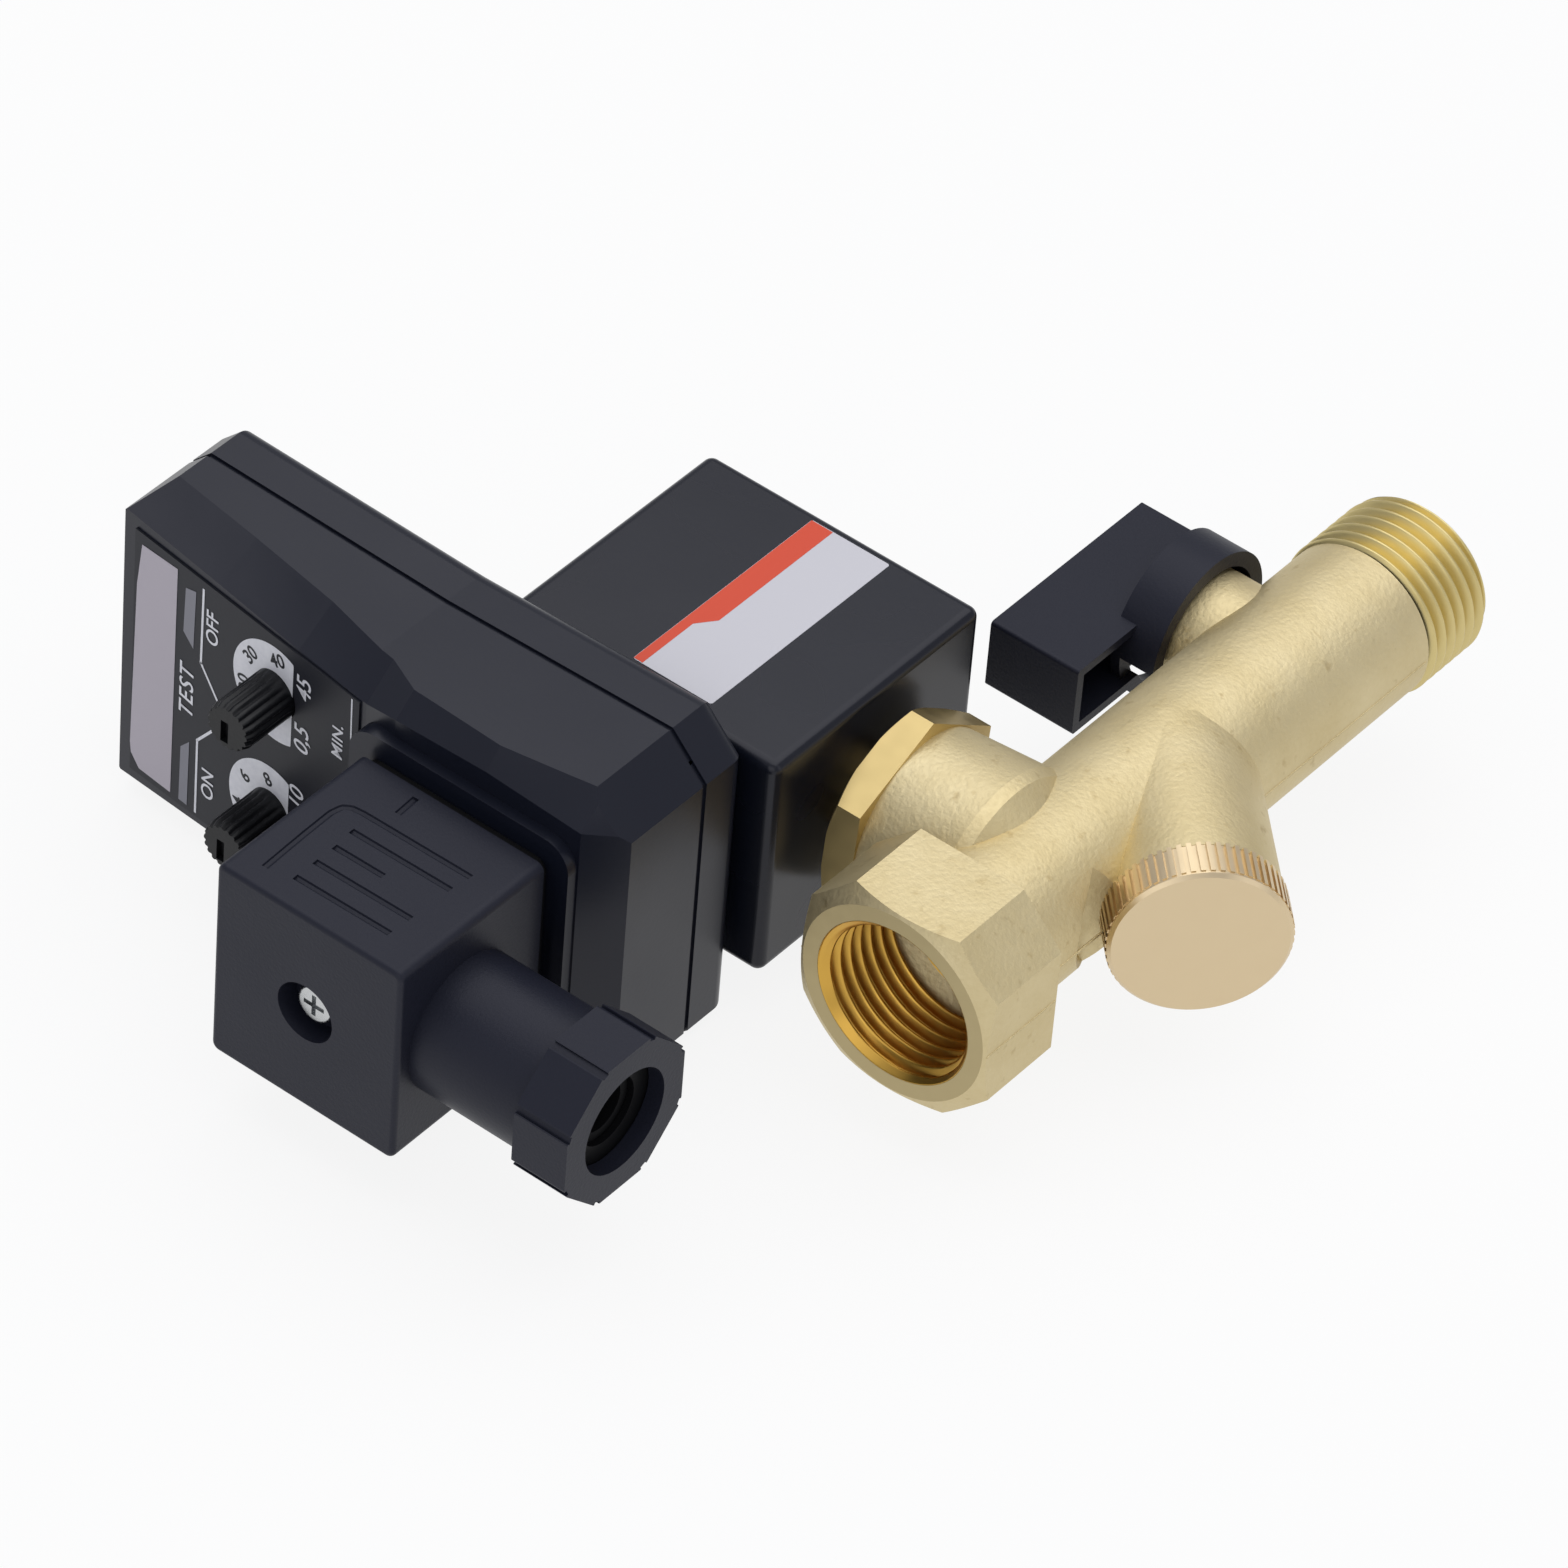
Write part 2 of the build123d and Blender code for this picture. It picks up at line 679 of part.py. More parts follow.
with BuildPart() as fixed_core:
    with BuildSketch(back_plane(-core_face, solenoid_y)):
        Circle(tube_bore_r)
    extrude(amount=core_back - core_face)
    with BuildSketch(back_plane(-core_back, solenoid_y)):
        Circle(tube_r - 1.3)
    extrude(amount=tube_end - core_back)
    fillet(fixed_core.faces().sort_by(Axis.X)[0].edges(), radius=0.4)
    # groove of the shading ring in the pole face
    with BuildSketch(back_plane(-core_face, solenoid_y)):
        Circle(shading_r + shading_w)
        Circle(shading_r, mode=Mode.SUBTRACT)
    extrude(amount=shading_w, mode=Mode.SUBTRACT)
    # pocket that seats the spring
    with BuildSketch(back_plane(-core_face, solenoid_y)):
        Circle(spring_r + 0.4)
    extrude(amount=spring_pocket, mode=Mode.SUBTRACT)
fixed_core.part.label = "fixed_core"

with BuildPart() as shading_ring:
    with BuildSketch(back_plane(-core_face, solenoid_y)):
        Circle(shading_r + shading_w)
        Circle(shading_r, mode=Mode.SUBTRACT)
    extrude(amount=shading_w)
shading_ring.part.label = "shading_ring"

with BuildPart() as plunger:
    with BuildSketch(back_plane(-plunger_face, solenoid_y)):
        Circle(plunger_r)
    extrude(amount=plunger_len)
    chamfer(plunger.edges().filter_by(GeomType.CIRCLE), length=0.4)
    # bleed slots along the plunger
    with BuildSketch(back_plane(-plunger_face, solenoid_y)):
        with PolarLocations(plunger_r, 4):
            Rectangle(1.0, 1.2)
    extrude(amount=plunger_len, mode=Mode.SUBTRACT)
    # seal pocket at the nozzle end, spring pocket at the core end
    with BuildSketch(back_plane(-plunger_face, solenoid_y)):
        Circle(seal_r)
    extrude(amount=seal_len, mode=Mode.SUBTRACT)
    with BuildSketch(back_plane(-plunger_face - plunger_len, solenoid_y)):
        Circle(spring_r + 0.4)
    extrude(amount=-plunger_pocket, mode=Mode.SUBTRACT)
plunger.part.label = "plunger"

seal_nose = plunger_face - nozzle_reach - seat_rest
with BuildPart() as plunger_seal:
    with BuildSketch(back_plane(-nozzle_reach - seat_rest, solenoid_y)):
        Circle(seal_r)
    extrude(amount=seal_nose + seal_len)
    chamfer(plunger_seal.faces().sort_by(Axis.X)[-1].edges(), length=0.3)
plunger_seal.part.label = "plunger_seal"

spring_from = plunger_face + plunger_len - plunger_pocket + spring_wire_r
spring_to = core_face + spring_pocket - spring_wire_r
with BuildPart() as return_spring:
    with BuildLine() as spring_path:
        Helix(
            pitch=(spring_to - spring_from) / spring_turns,
            height=spring_to - spring_from,
            radius=spring_r,
            center=(-spring_from, solenoid_y, 0),
            direction=(-1, 0, 0),
        )
    with BuildSketch(Plane(origin=spring_path.line @ 0, z_dir=spring_path.line % 0)):
        RegularPolygon(spring_wire_r, 6)
    sweep()
return_spring.part.label = "return_spring"

# ---- coil: moulded block round the yoke, bobbin and winding ----
coil_cell_front = coil_front + coil_cell_wall
coil_cell_back = coil_back - coil_cell_wall
yoke_half_w = coil_half_w - coil_cell_wall
coil_cell_half_h = coil_half_h - coil_cell_wall
with BuildPart() as coil_housing:
    with BuildSketch(back_plane(-coil_front, solenoid_y)):
        Rectangle(2 * coil_half_w, 2 * coil_half_h)
    extrude(amount=coil_len)
    fillet(coil_housing.edges(), radius=coil_edge)
    with BuildSketch(back_plane(-coil_cell_front, solenoid_y)):
        Rectangle(2 * yoke_half_w, 2 * coil_cell_half_h)
    extrude(amount=coil_cell_back - coil_cell_front, mode=Mode.SUBTRACT)
    with BuildSketch(back_plane(-coil_front, solenoid_y)):
        Circle(coil_bore_r)
    extrude(amount=coil_len, mode=Mode.SUBTRACT)
    # windows of the three terminal blades
    with BuildSketch(run_plane(solenoid_y - yoke_half_w + 1, plug_x)):
        with Locations(*terminal_spots):
            Rectangle(pin_w + 0.1, pin_t + 0.1)
    extrude(amount=coil_cell_wall + 1, mode=Mode.SUBTRACT)
coil_housing.part.label = "coil_housing"

with BuildPart() as magnet_frame:
    with BuildSketch(Plane.XY.offset(-yoke_half_h)):
        with Locations((-coil_mid, solenoid_y)):
            Rectangle(coil_cell_back - coil_cell_front - 2 * inner_gap, 2 * (yoke_half_w - inner_gap))
            Rectangle(
                coil_cell_back - coil_cell_front - 2 * inner_gap - 2 * yoke_t,
                2 * (yoke_half_w - inner_gap - yoke_t),
                mode=Mode.SUBTRACT,
            )
    extrude(amount=2 * yoke_half_h)
    with BuildSketch(back_plane(-coil_front, solenoid_y)):
        Circle(coil_bore_r)
    extrude(amount=coil_len, mode=Mode.SUBTRACT)
    with BuildSketch(run_plane(solenoid_y, plug_x)):
        with Locations(*terminal_spots):
            Rectangle(pin_w + 1.2, pin_t + 1.2)
    extrude(amount=coil_half_w, mode=Mode.SUBTRACT)
magnet_frame.part.label = "magnet_frame"

spool_front = coil_cell_front + inner_gap + yoke_t + inner_gap
spool_back = coil_cell_back - inner_gap - yoke_t - inner_gap
with BuildPart() as bobbin:
    with BuildSketch(back_plane(-spool_front, solenoid_y)):
        Circle(bobbin_r)
    extrude(amount=spool_back - spool_front)
    with BuildSketch(back_plane(-spool_front, solenoid_y)):
        Circle(flange_r)
    extrude(amount=flange_t)
    with BuildSketch(back_plane(-spool_back + flange_t, solenoid_y)):
        Circle(flange_r)
    extrude(amount=flange_t)
    with BuildSketch(back_plane(-spool_front, solenoid_y)):
        Circle(coil_bore_r)
    extrude(amount=spool_back - spool_front, mode=Mode.SUBTRACT)
bobbin.part.label = "bobbin"

with BuildPart() as winding:
    with BuildSketch(back_plane(-spool_front - flange_t, solenoid_y)):
        Circle(winding_r)
        Circle(bobbin_r, mode=Mode.SUBTRACT)
    extrude(amount=spool_back - spool_front - 2 * flange_t)
winding.part.label = "winding"

with BuildPart() as coil_terminals:
    with BuildSketch(run_plane(solenoid_y - flange_r - 0.2, plug_x)):
        with Locations(*terminal_spots):
            Rectangle(pin_w, pin_t)
    extrude(amount=coil_half_w - flange_r - 0.2 + coil_gasket_len + blade_reach)
coil_terminals.part.label = "coil_terminals"

with BuildPart() as coil_washer:
    with BuildSketch(back_plane(-coil_back, solenoid_y)):
        Circle(nut_af * 0.62)
        Circle(tube_r - 1.3 + running_gap, mode=Mode.SUBTRACT)
    extrude(amount=nut_washer_len)
coil_washer.part.label = "coil_washer"

with BuildPart() as coil_nut:
    with BuildSketch(back_plane(-coil_back - nut_washer_len, solenoid_y)):
        RegularPolygon(nut_af / 2, 6, major_radius=False)
        Circle(tube_r - 1.3 + running_gap, mode=Mode.SUBTRACT)
    extrude(amount=nut_len)
coil_nut.part.label = "coil_nut"

with BuildPart() as coil_gasket:
    with BuildSketch(run_plane(solenoid_y - coil_half_w, plug_x)) as gasket_form:
        RectangleRounded(2 * plug_half_w, 2 * plug_half_w, 2)
        RectangleRounded(2 * plug_half_w - 3, 2 * plug_half_w - 3, 1.5, mode=Mode.SUBTRACT)
    extrude(amount=coil_gasket_len)
coil_gasket.part.label = "coil_gasket"

# ---- timer housing: rear shell and lofted cover ----
# each station of the cover: distance along -X, face depth, half height of the flat face,
# depth at which its bevel runs out above the housing
bevel_over = 1.0
cover_stations = (
    (timer_left + bevel_over, face_left - face_slope * bevel_over, 19.9, 29.0),
    (86.0, face_left + face_slope * (timer_left - 86.0), 18.9, 30.9),
    (73.0, face_left + face_slope * (timer_left - 73.0), 18.0, 33.0),
    (step_face_end, face_left + face_slope * (timer_left - step_face_end), 17.6, 36.0),
    (step_pad_start, pad_base, 18.9, 38.6),
    (step_pad_end, pad_base, 19.3, 40.2),
    (timer_right + end_bevel, pad_base, 18.6, 38.2),
    (timer_right - bevel_over, pad_base - end_bevel - bevel_over, 17.6, 35.2),
)
timer_outline = [
    (-timer_left + corner_left, -timer_half_h),
    (-timer_waist_x, -timer_half_h + timer_waist),
    (-timer_right - corner_bottom_right, -timer_half_h),
    (-timer_right, -timer_half_h + corner_bottom_right),
    (-timer_right, timer_half_h - corner_top_right),
    (-timer_right - corner_top_right, timer_half_h),
    (-timer_waist_x, timer_half_h - timer_waist),
    (-timer_left + corner_left, timer_half_h),
    (-timer_left, timer_half_h - corner_left),
    (-timer_left, -timer_half_h + corner_left),
]
cell_left = timer_left - cover_wall
cell_right = timer_right + cover_wall
face_drop = face_slope * cover_wall
boss_spots = [
    (-cell_left + boss_inset, cell_half_top - boss_inset),
    (-cell_left + boss_inset, -cell_half_top + boss_inset),
    (-cell_right - boss_inset, cell_half_top - boss_inset),
    (-cell_right - boss_inset, -cell_half_top + boss_inset),
]
dial_spots = [(dial_x, dial_mid_z + dial_pitch / 2), (dial_x, dial_mid_z - dial_pitch / 2)]
lamp_spots = [(lamp_x, lamp_high), (lamp_x, lamp_low)]
board_y = joint_y - board_back
board_face_y = board_y - board_t


def face_y(x):
    """Y of the sloping dial face at x."""
    return solenoid_y - face_left - face_slope * (timer_left + x)


with BuildPart() as timer_rear:
    with BuildSketch(run_plane(timer_back_y)):
        with BuildLine():
            Polyline(*timer_outline, close=True)
        make_face()
    extrude(amount=rear_len)
    fillet(timer_rear.faces().sort_by(Axis.Y)[-1].edges(), radius=rear_edge)
    # hollow behind the board, the connector block left standing
    with BuildSketch(run_plane(joint_y + rear_len - cover_wall)):
        with Locations((-(cell_left + cell_right) / 2, 0)):
            Rectangle(cell_left - cell_right, 2 * cell_half_top)
        with Locations((plug_x, 0)):
            Rectangle(2 * plug_half_w, 2 * plug_half_w, mode=Mode.SUBTRACT)
        with Locations(*boss_spots):
            Circle(screw_boss_r, mode=Mode.SUBTRACT)
    extrude(amount=rear_len, mode=Mode.SUBTRACT)
    with BuildSketch(run_plane(joint_y + joint_groove)):
        with BuildLine():
            Polyline(*timer_outline, close=True)
        make_face()
        offset(amount=-joint_groove, mode=Mode.SUBTRACT)
    extrude(amount=joint_groove, mode=Mode.SUBTRACT)
    # contact slots and screw holes
    with BuildSketch(run_plane(timer_back_y, plug_x)):
        with Locations(*terminal_spots):
            Rectangle(contact_w + 0.2, contact_t + 0.2)
    extrude(amount=rear_len, mode=Mode.SUBTRACT)
    with BuildSketch(run_plane(timer_back_y)):
        with Locations(*boss_spots):
            Circle(cover_screw_r + 0.15)
    extrude(amount=rear_len, mode=Mode.SUBTRACT)
    with BuildSketch(run_plane(timer_back_y)):
        with Locations(*boss_spots):
            Circle(cover_head_r + 0.2)
    extrude(amount=cover_head_len + 0.3, mode=Mode.SUBTRACT)
timer_rear.part.label = "timer_rear"

with BuildPart() as timer_cover:
    for reach, front, face_half, shoulder in cover_stations:
        with BuildSketch(back_plane(-reach, solenoid_y)):
            with BuildLine():
                Polyline(
                    (solenoid_y - joint_y - bevel_over, -timer_half_h - bevel_over),
                    (shoulder, -timer_half_h - bevel_over),
                    (front, -face_half),
                    (front, face_half),
                    (shoulder, timer_half_h + bevel_over),
                    (solenoid_y - joint_y - bevel_over, timer_half_h + bevel_over),
                    close=True,
                )
            make_face()
    loft(ruled=True)
    with BuildSketch(run_plane(joint_y)):
        with BuildLine():
            Polyline(*timer_outline, close=True)
        make_face()
    extrude(amount=30, mode=Mode.INTERSECT)
    # raised pad that carries the plug
    with BuildSketch(run_plane(solenoid_y - pad_base + 3, plug_x)):
        RectangleRounded(2 * (plug_half_w + pad_margin), 2 * (plug_half_h + pad_margin), pad_corner)
    extrude(amount=3 + pad_rise)
    # hollow that follows the face
    with BuildSketch(Plane.XY.offset(-cell_half_h)):
        with BuildLine():
            Polyline(
                (-cell_left, joint_y + 1),
                (-cell_left, face_y(-cell_left) + cover_wall),
                (-step_face_end, face_y(-step_face_end) + cover_wall),
                (-step_pad_start - 1, solenoid_y - pad_base + cover_wall),
                (-cell_right - end_bevel, solenoid_y - pad_base + cover_wall),
                (-cell_right, solenoid_y - pad_base + cover_wall + end_bevel),
                (-cell_right, joint_y + 1),
                close=True,
            )
        make_face()
    extrude(amount=2 * cell_half_h, mode=Mode.SUBTRACT)
    with BuildSketch(run_plane(joint_y)):
        with BuildLine():
            Polyline(*timer_outline, close=True)
        make_face()
        offset(amount=-joint_groove, mode=Mode.SUBTRACT)
    extrude(amount=joint_groove, mode=Mode.SUBTRACT)
    # screw bosses and the boss of the plug screw
    with BuildSketch(run_plane(joint_y)):
        with Locations(*boss_spots):
            Circle(screw_boss_r)
    extrude(amount=cover_boss_len)
    with BuildSketch(run_plane(board_face_y - 1, plug_x)):
        Circle(screw_boss_r)
    extrude(amount=pad_base - (solenoid_y - board_face_y))
    with BuildSketch(run_plane(joint_y)):
        with Locations(*boss_spots):
            Circle(cover_screw_r)
    extrude(amount=cover_boss_len - 1, mode=Mode.SUBTRACT)
    with BuildSketch(run_plane(board_face_y - 1, plug_x)):
        Circle(plug_screw_r + running_gap)
    extrude(amount=40, mode=Mode.SUBTRACT)
    # holes for the dials, the test key, the lamps and the plug pins
    with BuildSketch(run_plane(joint_y)):
        with Locations(*dial_spots):
            Circle(knob_r + knob_gap)
        with Locations((-timer_left + button_x, button_z)):
            Rectangle(button_w + 2 * button_gap, button_h + 2 * button_gap)
        with Locations(*lamp_spots):
            Rectangle(lamp_w, lamp_h)
    extrude(amount=30, mode=Mode.SUBTRACT)
    with BuildSketch(run_plane(joint_y, plug_x)):
        with Locations(*pin_spots):
            Rectangle(pin_w + 0.2, pin_t + 0.2)
    extrude(amount=30, mode=Mode.SUBTRACT)
timer_cover.part.label = "timer_cover"

face_tilt = math.atan(face_slope)
face_normal = (-math.sin(face_tilt), -math.cos(face_tilt), 0)
face_run = (math.cos(face_tilt), -math.sin(face_tilt), 0)
face_origin = (-timer_left, face_y(-timer_left), 0)
face_plane = Plane(origin=face_origin, x_dir=face_run, z_dir=face_normal)
with BuildPart() as face_label:
    with BuildSketch(face_plane):
        with BuildLine():
            Polyline(
                (label_left, -label_half_h),
                (label_left + label_len, -label_half_h + label_taper),
                (label_left + label_len, label_half_h - label_taper),
                (label_left, label_half_h),
                close=True,
            )
        make_face()
    extrude(amount=label_t)
    with BuildSketch(run_plane(joint_y)):
        with Locations(*dial_spots):
            Circle(knob_r + knob_gap)
    extrude(amount=30, mode=Mode.SUBTRACT)
face_label.part.label = "face_label"

with BuildPart() as cover_screws:
    with BuildSketch(run_plane(timer_back_y - 0.3)):
        with Locations(*boss_spots):
            Circle(cover_head_r)
    extrude(amount=cover_head_len)
    with BuildSketch(run_plane(timer_back_y - 0.3)):
        with Locations(*boss_spots):
            Circle(cover_screw_r - 0.02)
    extrude(amount=rear_len + cover_boss_len - free_thread)
    with BuildSketch(run_plane(timer_back_y - 0.3)):
        with Locations(*boss_spots):
            Rectangle(2.6, 0.6)
            Rectangle(0.6, 2.6)
    extrude(amount=0.9, mode=Mode.SUBTRACT)
cover_screws.part.label = "cover_screws"

# ---- timer electronics ----
with BuildPart() as circuit_board:
    with BuildSketch(run_plane(board_y)):
        with Locations((-(cell_left + cell_right) / 2, 0)):
            Rectangle(cell_left - cell_right - 2, 2 * cell_half_h - 2)
        with Locations(*boss_spots):
            Circle(screw_boss_r + 0.4, mode=Mode.SUBTRACT)
    extrude(amount=board_t)
    with BuildSketch(run_plane(board_y, plug_x)):
        with Locations(*pin_spots):
            Rectangle(pin_w + 0.2, pin_t + 0.2)
    extrude(amount=board_t, mode=Mode.SUBTRACT)
circuit_board.part.label = "circuit_board"

with BuildPart() as timer_contacts:
    with BuildSketch(run_plane(board_y + contact_len, plug_x)):
        with Locations(*terminal_spots):
            Rectangle(contact_w, contact_t)
            Rectangle(pin_w + 0.1, pin_t + 0.1, mode=Mode.SUBTRACT)
    extrude(amount=contact_len)
timer_contacts.part.label = "timer_contacts"

with BuildPart() as plug_pins:
    with BuildSketch(run_plane(board_y + 0.8, plug_x)):
        with Locations(*pin_spots):
            Rectangle(pin_w, pin_t)
    extrude(amount=board_y + 0.8 - pin_tip_y)
plug_pins.part.label = "plug_pins"

with BuildPart() as potentiometers:
    with BuildSketch(run_plane(board_face_y)):
        with Locations(*dial_spots):
            Rectangle(2 * pot_half, 2 * pot_half)
            Circle(knob_shaft_r + 0.1, mode=Mode.SUBTRACT)
    extrude(amount=pot_len)
potentiometers.part.label = "potentiometers"

with BuildPart() as test_switch:
    with BuildSketch(run_plane(board_face_y, -timer_left + button_x, button_z)):
        Rectangle(2 * switch_half, 2 * switch_half)
    extrude(amount=switch_len)
test_switch.part.label = "test_switch"

with BuildPart() as indicator_leds:
    with BuildSketch(run_plane(board_face_y)):
        with Locations(*lamp_spots):
            Circle(lamp_r)
    extrude(amount=lamp_len)
indicator_leds.part.label = "indicator_leds"

key_back_y = face_y(-timer_left + button_x) + cover_wall + button_w * face_slope + 0.35
with BuildPart() as test_button:
    # its top lies under the flexible film of the label
    with BuildSketch(face_plane.offset(-film_gap)):
        with Locations((button_x / math.cos(face_tilt), button_z)):
            Rectangle(button_w, button_h)
    extrude(amount=film_gap - cover_wall - 0.6)
    with BuildSketch(run_plane(key_back_y, -timer_left + button_x, button_z)):
        Rectangle(button_w + 1.6, button_h + 1.6)
    extrude(amount=-0.9)
    with BuildSketch(run_plane(board_face_y - switch_len - button_travel - 0.05, -timer_left + button_x, button_z)):
        Circle(1.3)
    extrude(amount=board_face_y - switch_len - button_travel - key_back_y)
test_button.part.label = "test_button"

# ---- interval and drain dials ----
knob_tip_y = face_y(dial_x) - knob_len
knob_root_y = face_y(dial_x) + cover_wall - 0.5
knob_nodes = []
for name, spot in (("off_time_knob", dial_spots[0]), ("on_time_knob", dial_spots[1])):
    with BuildPart() as knob:
        with BuildSketch(run_plane(knob_root_y, spot[0], spot[1])):
            Circle(knob_r)
        extrude(amount=knob_root_y - knob_tip_y)
        chamfer(knob.faces().sort_by(Axis.Y)[0].edges(), length=0.35)
        # grip ribs, left off below the face
        with BuildSketch(run_plane(face_y(dial_x) - 1.2, spot[0], spot[1])):
            with PolarLocations(knob_r, knob_ribs):
                Rectangle(0.7, 0.55)
        extrude(amount=knob_len, mode=Mode.SUBTRACT)
        # pointer slot across the tip
        with BuildSketch(run_plane(knob_tip_y, spot[0], spot[1])):
            Rectangle(0.9, 2 * knob_r + 1)
        extrude(amount=-1.3, mode=Mode.SUBTRACT)
        with BuildSketch(run_plane(board_face_y - 0.4, spot[0], spot[1])):
            Circle(knob_shaft_r)
        extrude(amount=board_face_y - 0.4 - knob_root_y)
    knob.part.label = name
    knob_nodes.append(knob)

# ---- cable plug ----
with BuildPart() as plug_gasket:
    with BuildSketch(run_plane(pad_y, plug_x)):
        RectangleRounded(2 * plug_half_w - 1.2, 2 * plug_half_h - 1.2, 1.5)
        with Locations(*pin_spots):
            Rectangle(pin_w + 0.2, pin_t + 0.2, mode=Mode.SUBTRACT)
        Circle(plug_screw_r + 0.1, mode=Mode.SUBTRACT)
    extrude(amount=plug_gasket_len)
plug_gasket.part.label = "plug_gasket"

with BuildPart() as plug_housing:
    with BuildSketch(run_plane(plug_back_y, plug_x)):
        Rectangle(2 * plug_half_w, 2 * plug_half_h)
    extrude(amount=plug_len)
    fillet(plug_housing.edges().filter_by(Axis.Y), radius=plug_edge)
    fillet(plug_housing.faces().sort_by(Axis.Y)[0].edges(), radius=plug_edge * 0.6)
    # gland tube with its thread
    with BuildSketch(cross_plane(gland_x - 2, gland_y)):
        Circle(gland_tube_r)
    extrude(amount=gland_tube_len + 2)
    with BuildSketch(cross_plane(gland_end_x, gland_y)):
        Circle(gland_thread_r)
    extrude(amount=gland_thread_len)
    # wiring space, screw recess and cable bore
    with BuildSketch(run_plane(plug_back_y, plug_x)):
        Rectangle(2 * (plug_half_w - plug_wall), 2 * (plug_half_h - plug_wall))
    extrude(amount=plug_cell_len, mode=Mode.SUBTRACT)
    with BuildSketch(run_plane(plug_front_y, plug_x)):
        Circle(plug_recess_r)
    extrude(amount=-plug_recess_depth, mode=Mode.SUBTRACT)
    with BuildSketch(run_plane(plug_back_y, plug_x)):
        Circle(plug_screw_r + 0.1)
    extrude(amount=plug_len, mode=Mode.SUBTRACT)
    with BuildSketch(cross_plane(plug_x + plug_half_w - plug_wall - 1, gland_y)):
        Circle(gland_bore_r)
    extrude(amount=gland_tube_len + gland_thread_len + 4, mode=Mode.SUBTRACT)
    with BuildSketch(cross_plane(gland_end_x + gland_thread_len - seal_pocket, gland_y)):
        Circle(seal_r_outer + running_gap)
    extrude(amount=seal_pocket + 1, mode=Mode.SUBTRACT)
plug_housing.part.label = "plug_housing"

with BuildPart() as plug_insert:
    with BuildSketch(run_plane(plug_back_y, plug_x)):
        Rectangle(2 * (plug_half_w - plug_wall - inner_gap), 2 * (plug_half_h - plug_wall - inner_gap))
        with Locations(*pin_spots):
            Rectangle(pin_w + 0.2, pin_t + 0.2, mode=Mode.SUBTRACT)
        Circle(plug_screw_r + 0.1, mode=Mode.SUBTRACT)
    extrude(amount=pin_len + 0.8)
plug_insert.part.label = "plug_insert"

plug_seat_y = plug_front_y + plug_recess_depth
with BuildPart() as plug_screw:
    with BuildSketch(run_plane(plug_seat_y, plug_x)):
        Circle(plug_screw_head_r)
    extrude(amount=plug_screw_head_len)
    fillet(plug_screw.faces().sort_by(Axis.Y)[0].edges(), radius=0.5)
    with BuildSketch(run_plane(pad_y + 3.5, plug_x)):
        Circle(plug_screw_r)
    extrude(amount=pad_y + 3.5 - plug_seat_y)
    with BuildSketch(run_plane(plug_seat_y - plug_screw_head_len, plug_x)):
        Rectangle(2.9, 0.6)
        Rectangle(0.6, 2.9)
    extrude(amount=-1.0, mode=Mode.SUBTRACT)
plug_screw.part.label = "plug_screw"

# ---- cable gland ----
gland_tip_x = gland_end_x + gland_thread_len
with BuildPart() as gland_seal:
    with BuildSketch(cross_plane(gland_tip_x - seal_pocket, gland_y)):
        Circle(seal_r_outer)
        Circle(seal_bore_r, mode=Mode.SUBTRACT)
    extrude(amount=seal_pocket - gland_washer_len - 0.1)
gland_seal.part.label = "gland_seal"

with BuildPart() as gland_washer:
    with BuildSketch(cross_plane(gland_tip_x - gland_washer_len, gland_y)):
        Circle(seal_r_outer)
        Circle(seal_bore_r + 1.2, mode=Mode.SUBTRACT)
    extrude(amount=gland_washer_len)
gland_washer.part.label = "gland_washer"

with BuildPart() as gland_nut:
    with BuildSketch(cross_plane(gland_end_x + 0.1, gland_y)):
        RegularPolygon(gland_nut_r, gland_facets, rotation=180 / gland_facets)
        Circle(gland_nut_r - 0.25, mode=Mode.INTERSECT)
        with PolarLocations(gland_nut_r, gland_facets, start_angle=180 / gland_facets):
            Rectangle(1.2, 0.9, mode=Mode.SUBTRACT)
    extrude(amount=gland_nut_len - 0.1)
    with BuildSketch(cross_plane(gland_end_x, gland_y)):
        Circle(gland_thread_r + running_gap)
    extrude(amount=gland_nut_len - gland_nut_front, mode=Mode.SUBTRACT)
    with BuildSketch(cross_plane(gland_end_x, gland_y)):
        Circle(gland_nut_bore_r)
    extrude(amount=gland_nut_len, mode=Mode.SUBTRACT)
gland_nut.part.label = "gland_nut"

# ---- one STEP file for each piece ----
pieces = [
    body, strainer_screen, strainer_cap, strainer_o_ring, ball, ball_seats, seat_retainer, stem,
    stem_washer, stem_o_rings, lever, lever_screw, armature_tube, tube_o_ring, fixed_core,
    shading_ring, plunger, plunger_seal, return_spring, coil_housing, magnet_frame, bobbin,
    winding, coil_terminals, coil_washer, coil_nut, coil_gasket, timer_rear, timer_cover,
    face_label, cover_screws, circuit_board, timer_contacts, plug_pins, potentiometers,
    test_switch, indicator_leds, test_button, plug_gasket, plug_housing, plug_insert,
    plug_screw, gland_seal, gland_washer, gland_nut,
]
for piece in pieces + knob_nodes:
    export_step(piece.part, f"parts/{piece.part.label}.step")
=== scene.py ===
# %% [markdown]
# An automatic condensate drain valve. The solids come from CAD with every size settled;
# here they get their finishes, and the fine work that CAD leaves out: pipe threads,
# the forging's parting line, the printed face of the timer and the moulded-in panel.

# %% Load the frame
import json
import math

import bmesh
import bpy
from mathutils import Matrix, Vector
from mathutils.bvhtree import BVHTree
from mathutils.interpolate import poly_3d_calc


